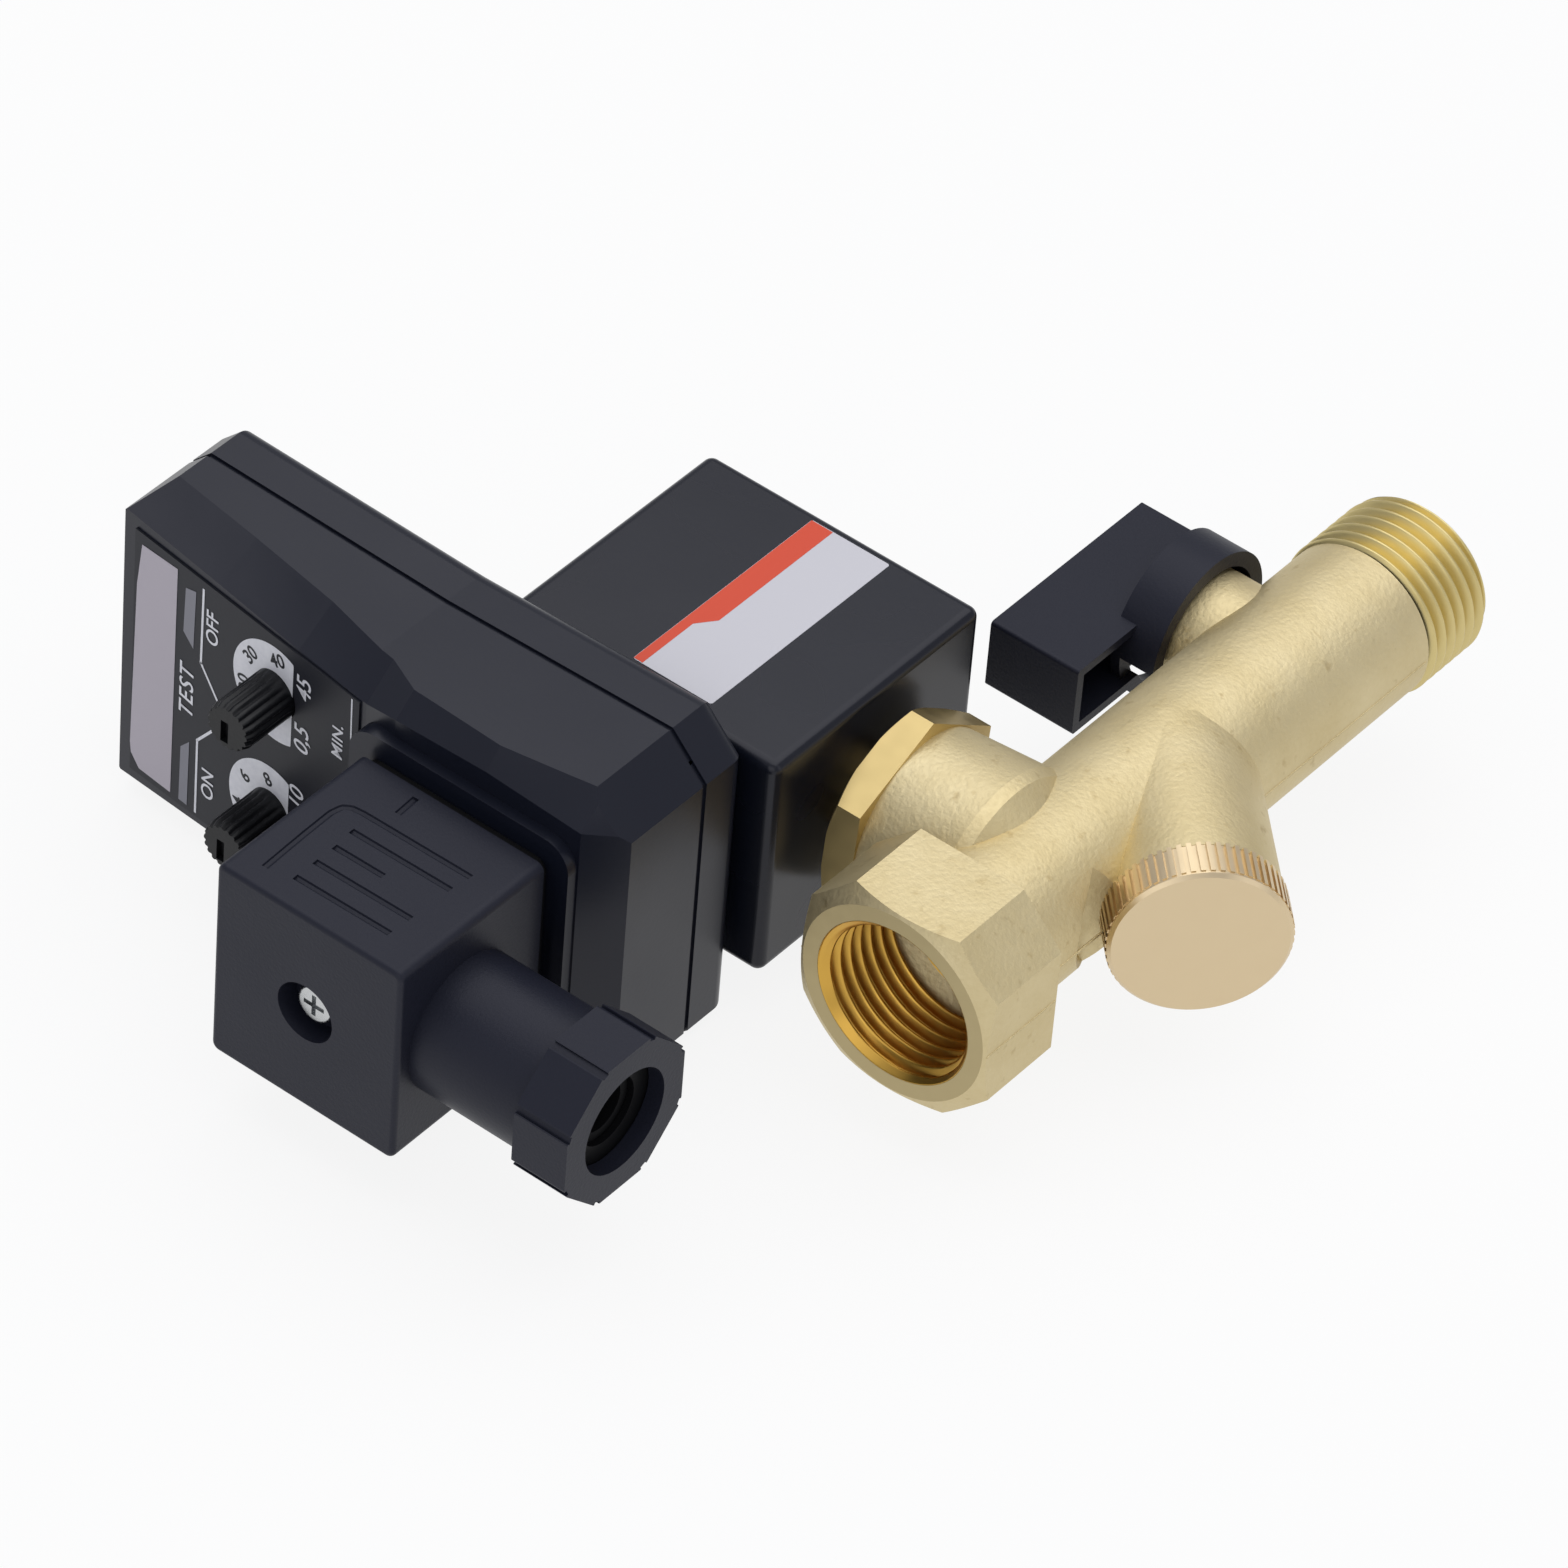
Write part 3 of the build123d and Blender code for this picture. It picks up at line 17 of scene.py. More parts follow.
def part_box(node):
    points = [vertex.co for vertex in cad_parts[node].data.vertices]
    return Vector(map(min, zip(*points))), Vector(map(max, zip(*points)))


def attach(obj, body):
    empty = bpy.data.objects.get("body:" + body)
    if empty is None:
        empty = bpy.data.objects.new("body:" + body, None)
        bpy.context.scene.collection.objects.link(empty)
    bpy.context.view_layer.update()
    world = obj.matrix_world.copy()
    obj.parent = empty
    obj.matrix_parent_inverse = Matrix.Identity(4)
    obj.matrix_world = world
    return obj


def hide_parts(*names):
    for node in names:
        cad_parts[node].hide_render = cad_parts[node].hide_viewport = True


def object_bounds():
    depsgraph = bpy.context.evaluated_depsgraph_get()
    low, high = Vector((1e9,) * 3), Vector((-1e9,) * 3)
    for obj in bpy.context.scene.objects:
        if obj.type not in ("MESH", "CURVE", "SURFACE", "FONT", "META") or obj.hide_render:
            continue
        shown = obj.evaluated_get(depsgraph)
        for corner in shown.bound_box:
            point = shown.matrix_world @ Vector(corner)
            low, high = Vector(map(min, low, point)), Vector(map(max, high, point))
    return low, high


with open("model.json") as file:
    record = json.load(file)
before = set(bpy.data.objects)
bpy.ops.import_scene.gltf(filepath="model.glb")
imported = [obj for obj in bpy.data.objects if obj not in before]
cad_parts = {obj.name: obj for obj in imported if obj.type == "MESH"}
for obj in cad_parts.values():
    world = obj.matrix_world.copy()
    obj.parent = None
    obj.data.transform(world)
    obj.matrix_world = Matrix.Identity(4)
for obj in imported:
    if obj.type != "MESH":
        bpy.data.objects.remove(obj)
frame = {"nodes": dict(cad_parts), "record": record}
cad_low, cad_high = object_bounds()
nodes = frame["nodes"]
print("CAD box", [round(c * 1000, 1) for c in cad_low], [round(c * 1000, 1) for c in cad_high])

# %% [markdown]
# The camera stands where a long lens would, high on the outlet side. Its three angles
# are a tilt, a small roll and a turn, in that order, so they are set as one Euler rotation.

# %% Camera
MM = 0.001
camera_data = bpy.data.cameras.new("camera")
camera_data.sensor_width = 36.0
camera_data.lens = 229.6
camera_data.clip_end = 10.0
camera = bpy.data.objects.new("camera", camera_data)
camera.location = (0.45076, -0.75192, 0.75888)
camera.rotation_euler = (math.radians(47.387), math.radians(-3.624), math.radians(38.919))
bpy.context.scene.collection.objects.link(camera)
bpy.context.scene.camera = camera
print("lens", camera_data.lens, "mm")

# %% [markdown]
# A white sweep and large soft lamps make the plain catalogue light. Brass and gloss
# plastic show mostly what they reflect, so the lamps are wide panels, and one side is
# left darker to give the edges a fall of tone. The camera and reflections see mostly an
# even glow on the floor, and its matte part takes the object's shadow.

# %% Stage and lamps
def linear(code):
    """An sRGB hex colour as the linear values that a socket takes."""
    parts = [int(code[i:i + 2], 16) / 255 for i in (1, 3, 5)]
    return [c / 12.92 if c <= 0.04045 else ((c + 0.055) / 1.055) ** 2.4 for c in parts] + [1.0]


def add(tree, kind, inputs=None, **settings):
    """Adds one node, with its settings and with values or links on its inputs."""
    node = tree.nodes.new(kind)
    for key, value in settings.items():
        setattr(node, key, value)
    for key, value in (inputs or {}).items():
        if isinstance(value, bpy.types.NodeSocket):
            tree.links.new(value, node.inputs[key])
        else:
            node.inputs[key].default_value = value
    return node


FLOOR_HALF = 9
FLOOR_GAP = 0.4 * MM
FLOOR_GLOW = 0.89
floor_z = cad_low[2] - FLOOR_GAP
floor_mesh = bpy.data.meshes.new("floor")
floor_mesh.from_pydata([(x * FLOOR_HALF, y * FLOOR_HALF, floor_z) for x,
                        y in ((-1, -1), (1, -1), (1, 1), (-1, 1))], [], [(0, 1, 2, 3)])
floor = bpy.data.objects.new("floor", floor_mesh)
bpy.context.scene.collection.objects.link(floor)
paper = bpy.data.materials.new("white_paper_sweep")
paper.use_nodes = True
tree = paper.node_tree
tree.nodes.clear()
rays = add(tree, "ShaderNodeLightPath")
seen = add(tree, "ShaderNodeMath", {0: rays.outputs["Is Camera Ray"], 1: rays.outputs["Is Glossy Ray"]},
           operation="MAXIMUM")
seen = add(tree, "ShaderNodeMath", {0: seen.outputs[0], 1: FLOOR_GLOW}, operation="MULTIPLY")
matte = add(tree, "ShaderNodeBsdfDiffuse", {"Color": linear("#F2F2F2")})
level = add(tree, "ShaderNodeMath", {0: rays.outputs["Is Camera Ray"], 1: 0.1, 2: 0.9},
            operation="MULTIPLY_ADD")
glow = add(tree, "ShaderNodeEmission", {"Color": linear("#FDFDFD"), "Strength": level.outputs[0]})
blend = add(tree, "ShaderNodeMixShader", {0: seen.outputs[0], 1: matte.outputs[0], 2: glow.outputs[0]})
add(tree, "ShaderNodeOutputMaterial", {"Surface": blend.outputs[0]})
floor_mesh.materials.append(paper)

world = bpy.data.worlds.new("studio")
bpy.context.scene.world = world
world.use_nodes = True
tree = world.node_tree
tree.nodes.clear()
sky = add(tree, "ShaderNodeBackground", {"Color": linear("#EEF0F8"), "Strength": 0.56})
add(tree, "ShaderNodeOutputWorld", {"Surface": sky.outputs[0]})


def lamp(name, place, aim, size, power, tint="#FFFFFF"):
    """A soft panel lamp at place, facing aim, in metres and watts."""
    data = bpy.data.lights.new(name, "AREA")
    data.shape = "RECTANGLE"
    data.size, data.size_y = size
    data.energy = power
    data.color = linear(tint)[:3]
    panel = bpy.data.objects.new(name, data)
    panel.location = place
    panel.rotation_euler = (Vector(aim) - Vector(place)).to_track_quat("-Z", "Y").to_euler()
    bpy.context.scene.collection.objects.link(panel)
    return panel


middle = [(a + b) / 2 for a, b in zip(cad_low, cad_high)]
lamp("top_panel", (-0.1, 0.15, 1.1), middle, (1.6, 1.6), 10.5)
lamp("front_panel", (0.25, -1.1, 0.5), middle, (1.2, 0.8), 2.2)
lamp("right_panel", (1.1, 0.1, 0.45), middle, (0.5, 0.9), 0.9)
bpy.context.scene.view_settings.view_transform = "Standard"

# %% [markdown]
# The body is hot-forged brass, then shot-blasted: a pale yellow metal whose skin is a
# field of tiny dents, so it looks satin, with slightly browner patches where scale was
# thicker. One fine noise drives the bump and the roughness; a slow noise tints the
# colour, and a middle-sized one lays browner flecks on it.

# %% Brass finishes
def surface(name, code, metallic, roughness):
    """A new material with one Principled shader, and its tree."""
    material = bpy.data.materials.new(name)
    material.use_nodes = True
    tree = material.node_tree
    tree.nodes.clear()
    shader = add(tree, "ShaderNodeBsdfPrincipled")
    shader.inputs["Base Color"].default_value = linear(code)
    shader.inputs["Metallic"].default_value = metallic
    shader.inputs["Roughness"].default_value = roughness
    add(tree, "ShaderNodeOutputMaterial", {"Surface": shader.outputs[0]})
    return material, tree, shader


def per_metre(size_mm):
    """The Scale of a pattern whose lumps are size_mm across, on coordinates in metres."""
    return 1000.0 / size_mm


forged, tree, shader = surface("shot_blasted_forged_brass", "#D4C395", 1.0, 0.5)
place = add(tree, "ShaderNodeTexCoord").outputs["Object"]
dents = add(tree, "ShaderNodeTexNoise", {"Vector": place, "Scale": per_metre(0.6), "Detail": 3.0})
patches = add(tree, "ShaderNodeTexNoise", {"Vector": place, "Scale": per_metre(9), "Detail": 4.0})
flecks = add(tree, "ShaderNodeTexNoise", {"Vector": place, "Scale": per_metre(1.8), "Detail": 3.0})
tone = add(tree, "ShaderNodeMix", {"Factor": patches.outputs["Fac"], "A": linear("#CDBB8C"),
                                   "B": linear("#E3D5AE")}, data_type="RGBA")
spots = add(tree, "ShaderNodeMapRange", {"Value": flecks.outputs["Fac"], "From Min": 0.64, "From Max": 0.8,
                                         "To Max": 0.45})
browned = add(tree, "ShaderNodeMix", {"Factor": spots.outputs[0], "A": tone.outputs[2],
                                      "B": linear("#A08550")}, data_type="RGBA")
tree.links.new(browned.outputs[2], shader.inputs["Base Color"])
satin = add(tree, "ShaderNodeMapRange", {"Value": dents.outputs["Fac"], "To Min": 0.46, "To Max": 0.66})
tree.links.new(satin.outputs[0], shader.inputs["Roughness"])
blast = add(tree, "ShaderNodeBump", {"Height": dents.outputs["Fac"], "Strength": 0.55, "Distance": 0.00014})
tree.links.new(blast.outputs[0], shader.inputs["Normal"])

# %% [markdown]
# Where a lathe has cut the brass - threads, cap, hexagon - the metal is brighter and
# shows fine rings. The rings are a wave drawn around the piece's own axis. The brass in
# the outlet's socket is given a deeper, more saturated gold: painted shade for the light
# bounced round inside the bore.

# %% Turned brass
def turned(name, code, origin_mm, axis, ring_mm=0.3, roughness=0.28):
    """Lathe-cut metal: fine rings round an axis, and a slightly uneven shine."""
    material, tree, shader = surface(name, code, 1.0, roughness)
    place = add(tree, "ShaderNodeTexCoord").outputs["Object"]
    turn = Vector(axis).rotation_difference(Vector((0, 0, 1)))
    local = add(tree, "ShaderNodeMapping", {"Vector": place, "Location": -(turn @ (Vector(origin_mm) * MM)),
                                            "Rotation": turn.to_euler()})
    rings = add(tree, "ShaderNodeTexWave",
                {"Vector": local.outputs[0], "Scale": per_metre(ring_mm) / 20, "Distortion": 1.5,
                                            "Detail": 2.0, "Detail Scale": 3.0}, wave_type="RINGS",
                                            rings_direction="Z")
    grain = add(tree, "ShaderNodeTexNoise", {"Vector": place, "Scale": per_metre(2.4), "Detail": 3.0})
    rough = add(tree, "ShaderNodeMapRange",
                {"Value": grain.outputs["Fac"], "To Min": roughness - 0.05, "To Max": roughness + 0.12})
    tree.links.new(rough.outputs[0], shader.inputs["Roughness"])
    cut = add(tree, "ShaderNodeBump", {"Height": rings.outputs["Fac"], "Strength": 0.06,
                                       "Distance": 0.00002})
    tree.links.new(cut.outputs[0], shader.inputs["Normal"])
    return material


s45 = math.sqrt(0.5)
run_turned = turned("turned_thread_brass", "#D9C78C", (0, 0, 0), (0, 1, 0), roughness=0.34)
cap_turned = turned("turned_cap_brass", "#E0CBA6", (0, -48.1, 0), (s45, -s45, 0), roughness=0.3)
hex_turned = turned("turned_hexagon_brass", "#C6B07A", (0, -73, 0), (1, 0, 0), roughness=0.34)
# The socket's brass is a deeper, more saturated gold than the other turned brass: painted shade for the light
# bounced round inside the bore.
bore_turned_painted_shade = turned("turned_bore_brass_painted_shade", "#D4A84E", (0, 0, 0), (0, 1, 0), roughness=0.3)
face_turned = turned("turned_face_brass", "#B5A57C", (0, 0, 0), (0, 1, 0), roughness=0.34)
print("brass finishes ready")

# %% [markdown]
# Two black plastics. The plug and lever are glass-filled nylon from a spark-eroded
# mould: satin, faintly grainy, a touch blue. The coil and timer cover are glossier, so
# they pick up long soft reflections; a slow ripple in the bump keeps those from being
# perfectly straight, as on any moulding that has shrunk a little.

# %% Plastics
def moulded(name, code, roughness, grain_mm, grain_height, ripple=0.0, shine=0.5, tint="#FFFFFF"):
    """A moulded plastic: fine grain, soft ripple, slight variation in gloss."""
    material, tree, shader = surface(name, code, 0.0, roughness)
    place = add(tree, "ShaderNodeTexCoord").outputs["Object"]
    grain = add(tree, "ShaderNodeTexNoise", {"Vector": place, "Scale": per_metre(grain_mm), "Detail": 2.0})
    slow = add(tree, "ShaderNodeTexNoise", {"Vector": place, "Scale": per_metre(14), "Detail": 1.0})
    rough = add(tree, "ShaderNodeMapRange",
                {"Value": slow.outputs["Fac"], "To Min": roughness - 0.05, "To Max": roughness + 0.06})
    tree.links.new(rough.outputs[0], shader.inputs["Roughness"])
    fine = add(tree, "ShaderNodeBump", {"Height": grain.outputs["Fac"], "Strength": grain_height,
                                        "Distance": 0.00006})
    wave = add(tree, "ShaderNodeBump", {"Height": slow.outputs["Fac"], "Strength": ripple,
                                        "Distance": 0.0006, "Normal": fine.outputs[0]})
    tree.links.new(wave.outputs[0], shader.inputs["Normal"])
    shader.inputs["Specular IOR Level"].default_value = shine
    shader.inputs["Specular Tint"].default_value = linear(tint)
    return material


nylon = moulded("black_glass_filled_nylon", "#1B1D28", 0.44, 0.4, 0.4, shine=0.27, tint="#ECEBF2")
gloss = moulded("gloss_black_abs", "#11141F", 0.3, 0.6, 0.1, ripple=0.12, shine=0.38, tint="#ECEBF2")
coil_resin = moulded("black_coil_resin", "#0F121B", 0.26, 0.8, 0.08, ripple=0.08, shine=0.38,
                     tint="#ECEBF2")
knob_plastic = moulded("black_dial_plastic", "#101114", 0.42, 0.4, 0.25, shine=0.3)
natural = moulded("natural_nylon", "#D8D2C2", 0.45, 0.5, 0.1)
white_ptfe = moulded("white_ptfe", "#ECEAE4", 0.35, 0.8, 0.1)
rubber = moulded("black_nitrile_rubber", "#0C0C0E", 0.62, 0.5, 0.3, shine=0.15)
board_green = moulded("green_solder_resist", "#1E5A36", 0.3, 1.2, 0.1)
blue_part = moulded("blue_moulding", "#24488C", 0.3, 0.8, 0.1)
lens = moulded("clear_lens", "#C9D2CB", 0.15, 1.0, 0.02)
film = moulded("dark_label_film", "#24252B", 0.42, 0.5, 0.1, shine=0.2)
dark_washer = moulded("black_oxide_washer", "#0D0D0F", 0.5, 0.9, 0.1, shine=0.15)
print("plastics ready")

# %% Steels
def plated(name, code, roughness):
    """Bright plated or drawn metal with a little uneven sheen."""
    material, tree, shader = surface(name, code, 1.0, roughness)
    place = add(tree, "ShaderNodeTexCoord").outputs["Object"]
    cloud = add(tree, "ShaderNodeTexNoise", {"Vector": place, "Scale": per_metre(1.2), "Detail": 3.0})
    rough = add(tree, "ShaderNodeMapRange",
                {"Value": cloud.outputs["Fac"], "To Min": roughness - 0.06, "To Max": roughness + 0.1})
    tree.links.new(rough.outputs[0], shader.inputs["Roughness"])
    return material


zinc = plated("bright_zinc_plate", "#C9CBCC", 0.24)
steel = plated("drawn_stainless_steel", "#B9BBBD", 0.3)
chrome = plated("polished_chrome_plate", "#D2D4D6", 0.1)
copper = plated("enamelled_copper", "#B4673A", 0.3)
tin = plated("tin_plate", "#C9C7BE", 0.34)

finishes = {
    "forged_brass": forged, "turned_brass": hex_turned, "chromed_brass": chrome, "stainless": steel,
    "zinc_steel": zinc, "copper": copper, "tinned_brass": tin, "ptfe": white_ptfe, "nitrile": rubber,
    "black_plastic": nylon, "gloss_black_plastic": gloss, "label_film": film, "natural_nylon": natural,
    "blue_plastic": blue_part, "board_green": board_green, "lamp_lens": lens,
}
own_finish = {
    "strainer_cap": cap_turned, "coil_housing": coil_resin, "off_time_knob": knob_plastic,
    "on_time_knob": knob_plastic, "gland_washer": dark_washer, "timer_rear": gloss,
}
slot_of = {part["node"]: part["material_slot"] for part in frame["record"]["subparts"]}
for name, obj in nodes.items():
    finish = own_finish.get(name, finishes[slot_of[name]])
    if not obj.data.materials:
        obj.data.materials.append(finish)
    for index in range(len(obj.material_slots)):
        obj.material_slots[index].material = finish
print("finished", len(nodes), "CAD pieces")

# %% [markdown]
# The timer's face is a printed film: a pale strip, two pale windows over the lamps,
# thin white rules, two white dial plates with dark numbers, and white words. Print has
# no thickness worth modelling, so each mark is a flat piece lifted a few hundredths of a
# millimetre off the film. The film slopes, so every mark is laid out in the film's own
# plane, across (x) and up (z), and then turned into place.

# %% Print on the face film
FACE_SLOPE = 0.115
face_tilt = math.atan(FACE_SLOPE)
FACE_CORNER = Vector((-101.6, -111.0, 0.0))
FILM = 0.25
across = Vector((math.cos(face_tilt), -math.sin(face_tilt), 0))
outward = Vector((-math.sin(face_tilt), -math.cos(face_tilt), 0))
upward = Vector((0, 0, 1))


def on_face(x, z, lift=0.04):
    """A point of the printed film in metres, from its x and z in millimetres."""
    reach = (x - FACE_CORNER.x) / math.cos(face_tilt)
    return (FACE_CORNER + across * reach + upward * z + outward * (FILM + lift)) * MM


def flat_piece(name, outlines, finish, lift=0.04):
    """One mesh of flat outlines, each a list of (x, z) in millimetres on the film."""
    mesh = bpy.data.meshes.new(name)
    made = bmesh.new()
    for outline in outlines:
        corners = [made.verts.new(on_face(x, z, lift)) for x, z in outline]
        face = made.faces.new(corners)
        face.normal_update()
        if face.normal.dot(outward) < 0:
            face.normal_flip()
    made.to_mesh(mesh)
    made.free()
    mesh.materials.append(finish)
    piece = bpy.data.objects.new(name, mesh)
    bpy.context.scene.collection.objects.link(piece)
    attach(piece, "valve")
    return piece


def rule(points, width):
    """A line of one width through points, as one outline for each stretch, run on half a width past each end."""
    stretches = []
    for (x0, z0), (x1, z1) in zip(points, points[1:]):
        long = math.hypot(x1 - x0, z1 - z0)
        ex, ez = (x1 - x0) / long * width / 2, (z1 - z0) / long * width / 2
        stretches.append([(x0 - ex - ez, z0 - ez + ex), (x1 + ex - ez, z1 + ez + ex),
                          (x1 + ex + ez, z1 + ez - ex), (x0 - ex + ez, z0 - ez - ex)])
    return stretches


def disc(x, z, radius, clip_x, count=72):
    """A round plate cut off straight at clip_x."""
    rim = [(x + radius * math.cos(2 * math.pi * i / count),
            z + radius * math.sin(2 * math.pi * i / count)) for i in range(count)]
    return [(min(px, clip_x), pz) for px, pz in rim]


ink, tree, shader = surface("white_screen_print", "#D9D9DC", 0.0, 0.45)
place = add(tree, "ShaderNodeTexCoord").outputs["Object"]
worn = add(tree, "ShaderNodeTexNoise", {"Vector": place, "Scale": per_metre(0.8), "Detail": 2.0})
thin = add(tree, "ShaderNodeMix", {"Factor": worn.outputs["Fac"], "A": linear("#C6C7CE"),
                                   "B": linear("#DEDEE2")}, data_type="RGBA")
tree.links.new(thin.outputs[2], shader.inputs["Base Color"])
dark_ink = moulded("dark_screen_print", "#25262B", 0.45, 0.5, 0.05, shine=0.2)
strip_print = moulded("pale_grey_strip_print", "#ADA7AF", 0.42, 0.7, 0.05, shine=0.2)
window_print = moulded("translucent_window_print", "#7C7C84", 0.36, 0.7, 0.05, shine=0.2)

flat_piece("face_strip", [[(-98.4, 16.6), (-92.5, 16.9), (-92.7, -17.2), (-98.0, -17.2), (-99.4, -15.6),
                           (-99.6, -14.1), (-99.1, 10.3)]], strip_print)
flat_piece("face_windows", [
    [(-91.1, 15.1), (-89.4, 15.6), (-89.6, 6.9), (-91.3, 8.5)],
    [(-91.2, -9.0), (-89.8, -7.4), (-89.9, -17.2), (-91.3, -17.2)],
], window_print)
flat_piece("face_rules", rule([(-88.2, 16.7), (-88.3, 5.7), (-84.9, 1.2)], 0.34)
           + rule([(-86.0, -3.0), (-88.5, -6.2), (-88.5, -17.2)],
                  0.34) + rule([(-64.0, 17.0), (-63.9, 10.4)], 0.22), ink)
DIALS = ((-76.3, 9.45), (-76.3, -8.6))
DIAL_PLATE_R = 6.75
DIAL_PLATE_CUT = -73.4
flat_piece("dial_plates", [disc(x, z, DIAL_PLATE_R, DIAL_PLATE_CUT) for x, z in DIALS], ink)


CAPITAL_SHARE = 0.72


def word(name, text, x, z, height, finish, slant=0.0, turn=0.0, lift=0.06, space=1.0, bold=0.03):
    """Text whose middle is at (x, z) on the film, tops towards -X, height of capitals in mm."""
    curve = bpy.data.curves.new(name, "FONT")
    curve.body = text
    curve.align_x = "CENTER"
    curve.align_y = "CENTER"
    curve.size = height / CAPITAL_SHARE
    curve.offset = bold
    curve.shear = slant
    curve.space_character = space
    curve.resolution_u = 4
    shape = bpy.data.objects.new(name, curve)
    bpy.context.scene.collection.objects.link(shape)
    bpy.context.view_layer.update()
    mesh = bpy.data.meshes.new_from_object(shape.evaluated_get(bpy.context.evaluated_depsgraph_get()))
    bpy.data.objects.remove(shape)
    mesh.name = name
    spin = Matrix.Rotation(turn, 3, "Z")
    base = Matrix((upward, -across, outward)).transposed()
    middle_of = on_face(x, z, lift)
    for vertex in mesh.vertices:
        vertex.co = middle_of + (base @ (spin @ vertex.co)) * MM
    mesh.materials.clear()
    mesh.materials.append(finish)
    piece = bpy.data.objects.new(name, mesh)
    bpy.context.scene.collection.objects.link(piece)
    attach(piece, "valve")
    return piece


word("word_off", "OFF", -86.5, 12.0, 2.0, ink)
word("word_on", "ON", -86.5, -11.7, 2.0, ink)
word("word_min", "MIN.", -65.9, 9.5, 1.75, ink, space=1.05)
word("word_45", "45", -71.5, 13.2, 2.35, ink, slant=0.15)
word("word_05", "0,5", -71.6, 5.6, 2.35, ink, slant=0.15)
word("word_10", "10", -72.0, -3.6, 2.35, ink, slant=0.15)
word("word_1", "1", -71.8, -12.4, 2.35, ink, slant=0.15)
for text, x, z, turn in (("20", -81.2, 7.6, 0.15), ("30", -80.3, 12.4, -0.55), ("40", -76.0, 14.4, -1.1),
                         ("4", -81.4, -10.6, 0.1), ("6", -80.5, -6.1, -0.5), ("8", -76.8, -4.1, -1.0)):
    word("dial_" + text, text, x, z, 1.8, dark_ink, turn=turn, bold=0.05)
word("word_test", "TEST", -90.4, -0.1, 2.35, ink, slant=0.12, space=1.12)
print("printed face ready")

# %% [markdown]
# Both pipe ends are G 1/2: 1.814 mm pitch, 20.955 mm over the crests. A thread could be
# a screw modifier on a small profile, but then its ends need trimming. Here a node tree
# wraps a grid into a closed sleeve instead: one side of the grid runs round the pipe,
# the other runs along it, and each point's radius is a wave of the distance along the
# pipe plus its share of a turn. The lead-in falls out of it for free, because the
# height is never more than the distance from the mouth. The same tree cuts the inner
# thread, with its height pointing inwards.

# %% Thread tree
PITCH = 1.814 * MM
CREST_R = 10.4775 * MM
ROOT_R = 9.3155 * MM
MOUTH_Y = -98.2


def new_tree(name, inputs):
    """An empty geometry tree with named inputs, given as (name, socket type)."""
    tree = bpy.data.node_groups.new(name, "GeometryNodeTree")
    for label, kind in inputs:
        tree.interface.new_socket(label, in_out="INPUT", socket_type=kind)
    tree.interface.new_socket("Geometry", in_out="OUTPUT", socket_type="NodeSocketGeometry")
    return tree, add(tree, "NodeGroupInput").outputs


thread_tree, given = new_tree("pipe_thread", (
    ("Root radius", "NodeSocketFloat"), ("Back radius", "NodeSocketFloat"), ("Height", "NodeSocketFloat"),
    ("Outwards", "NodeSocketFloat"), ("Pitch", "NodeSocketFloat"), ("Mouth", "NodeSocketFloat"),
    ("Direction", "NodeSocketFloat"), ("Length", "NodeSocketFloat"), ("Rows", "NodeSocketInt"),
    ("Columns", "NodeSocketInt"), ("Metal", "NodeSocketMaterial")))
tree = thread_tree
rows_more = add(tree, "ShaderNodeMath", {0: given["Rows"], 1: 3.0}, operation="ADD")
columns_more = add(tree, "ShaderNodeMath", {0: given["Columns"], 1: 1.0}, operation="ADD")
grid = add(tree, "GeometryNodeMeshGrid", {"Size X": 1.0, "Size Y": 1.0,
                                          "Vertices X": columns_more.outputs[0],
                                          "Vertices Y": rows_more.outputs[0]})
spot = add(tree, "ShaderNodeSeparateXYZ", {0: add(tree, "GeometryNodeInputPosition").outputs[0]})
turn_share = add(tree, "ShaderNodeMath", {0: spot.outputs[0], 1: 0.5}, operation="ADD")
loops = add(tree, "ShaderNodeMath", {0: given["Rows"], 1: 2.0}, operation="ADD")
row = add(tree, "ShaderNodeMath", {0: spot.outputs[1], 1: 0.5}, operation="ADD")
row = add(tree, "ShaderNodeMath", {0: row.outputs[0], 1: loops.outputs[0]}, operation="MULTIPLY")
share = add(tree, "ShaderNodeMapRange", {"Value": row.outputs[0], "From Min": 1.0,
                                         "From Max": given["Rows"]})
last = add(tree, "ShaderNodeMath", {0: given["Rows"], 1: 1.5}, operation="ADD")
not_closing = add(tree, "ShaderNodeMath", {0: row.outputs[0], 1: last.outputs[0]}, operation="LESS_THAN")
share = add(tree, "ShaderNodeMath", {0: share.outputs[0], 1: not_closing.outputs[0]}, operation="MULTIPLY")
depth_in = add(tree, "ShaderNodeMath", {0: share.outputs[0], 1: given["Length"]}, operation="MULTIPLY")
pitches = add(tree, "ShaderNodeMath", {0: depth_in.outputs[0], 1: given["Pitch"]}, operation="DIVIDE")
hand = add(tree, "ShaderNodeMath", {0: turn_share.outputs[0], 1: given["Direction"]}, operation="MULTIPLY")
phase = add(tree, "ShaderNodeMath", {0: pitches.outputs[0], 1: hand.outputs[0]}, operation="ADD")
phase = add(tree, "ShaderNodeMath", {0: phase.outputs[0]}, operation="FRACT")
flank = add(tree, "ShaderNodeMath", {0: phase.outputs[0], 1: 0.5}, operation="SUBTRACT")
flank = add(tree, "ShaderNodeMath", {0: flank.outputs[0]}, operation="ABSOLUTE")
profile = add(tree, "ShaderNodeMapRange", {"Value": flank.outputs[0], "From Min": 0.06, "From Max": 0.44,
                                           "To Max": given["Height"]})
height = add(tree, "ShaderNodeMath", {0: profile.outputs[0], 1: depth_in.outputs[0]}, operation="MINIMUM")
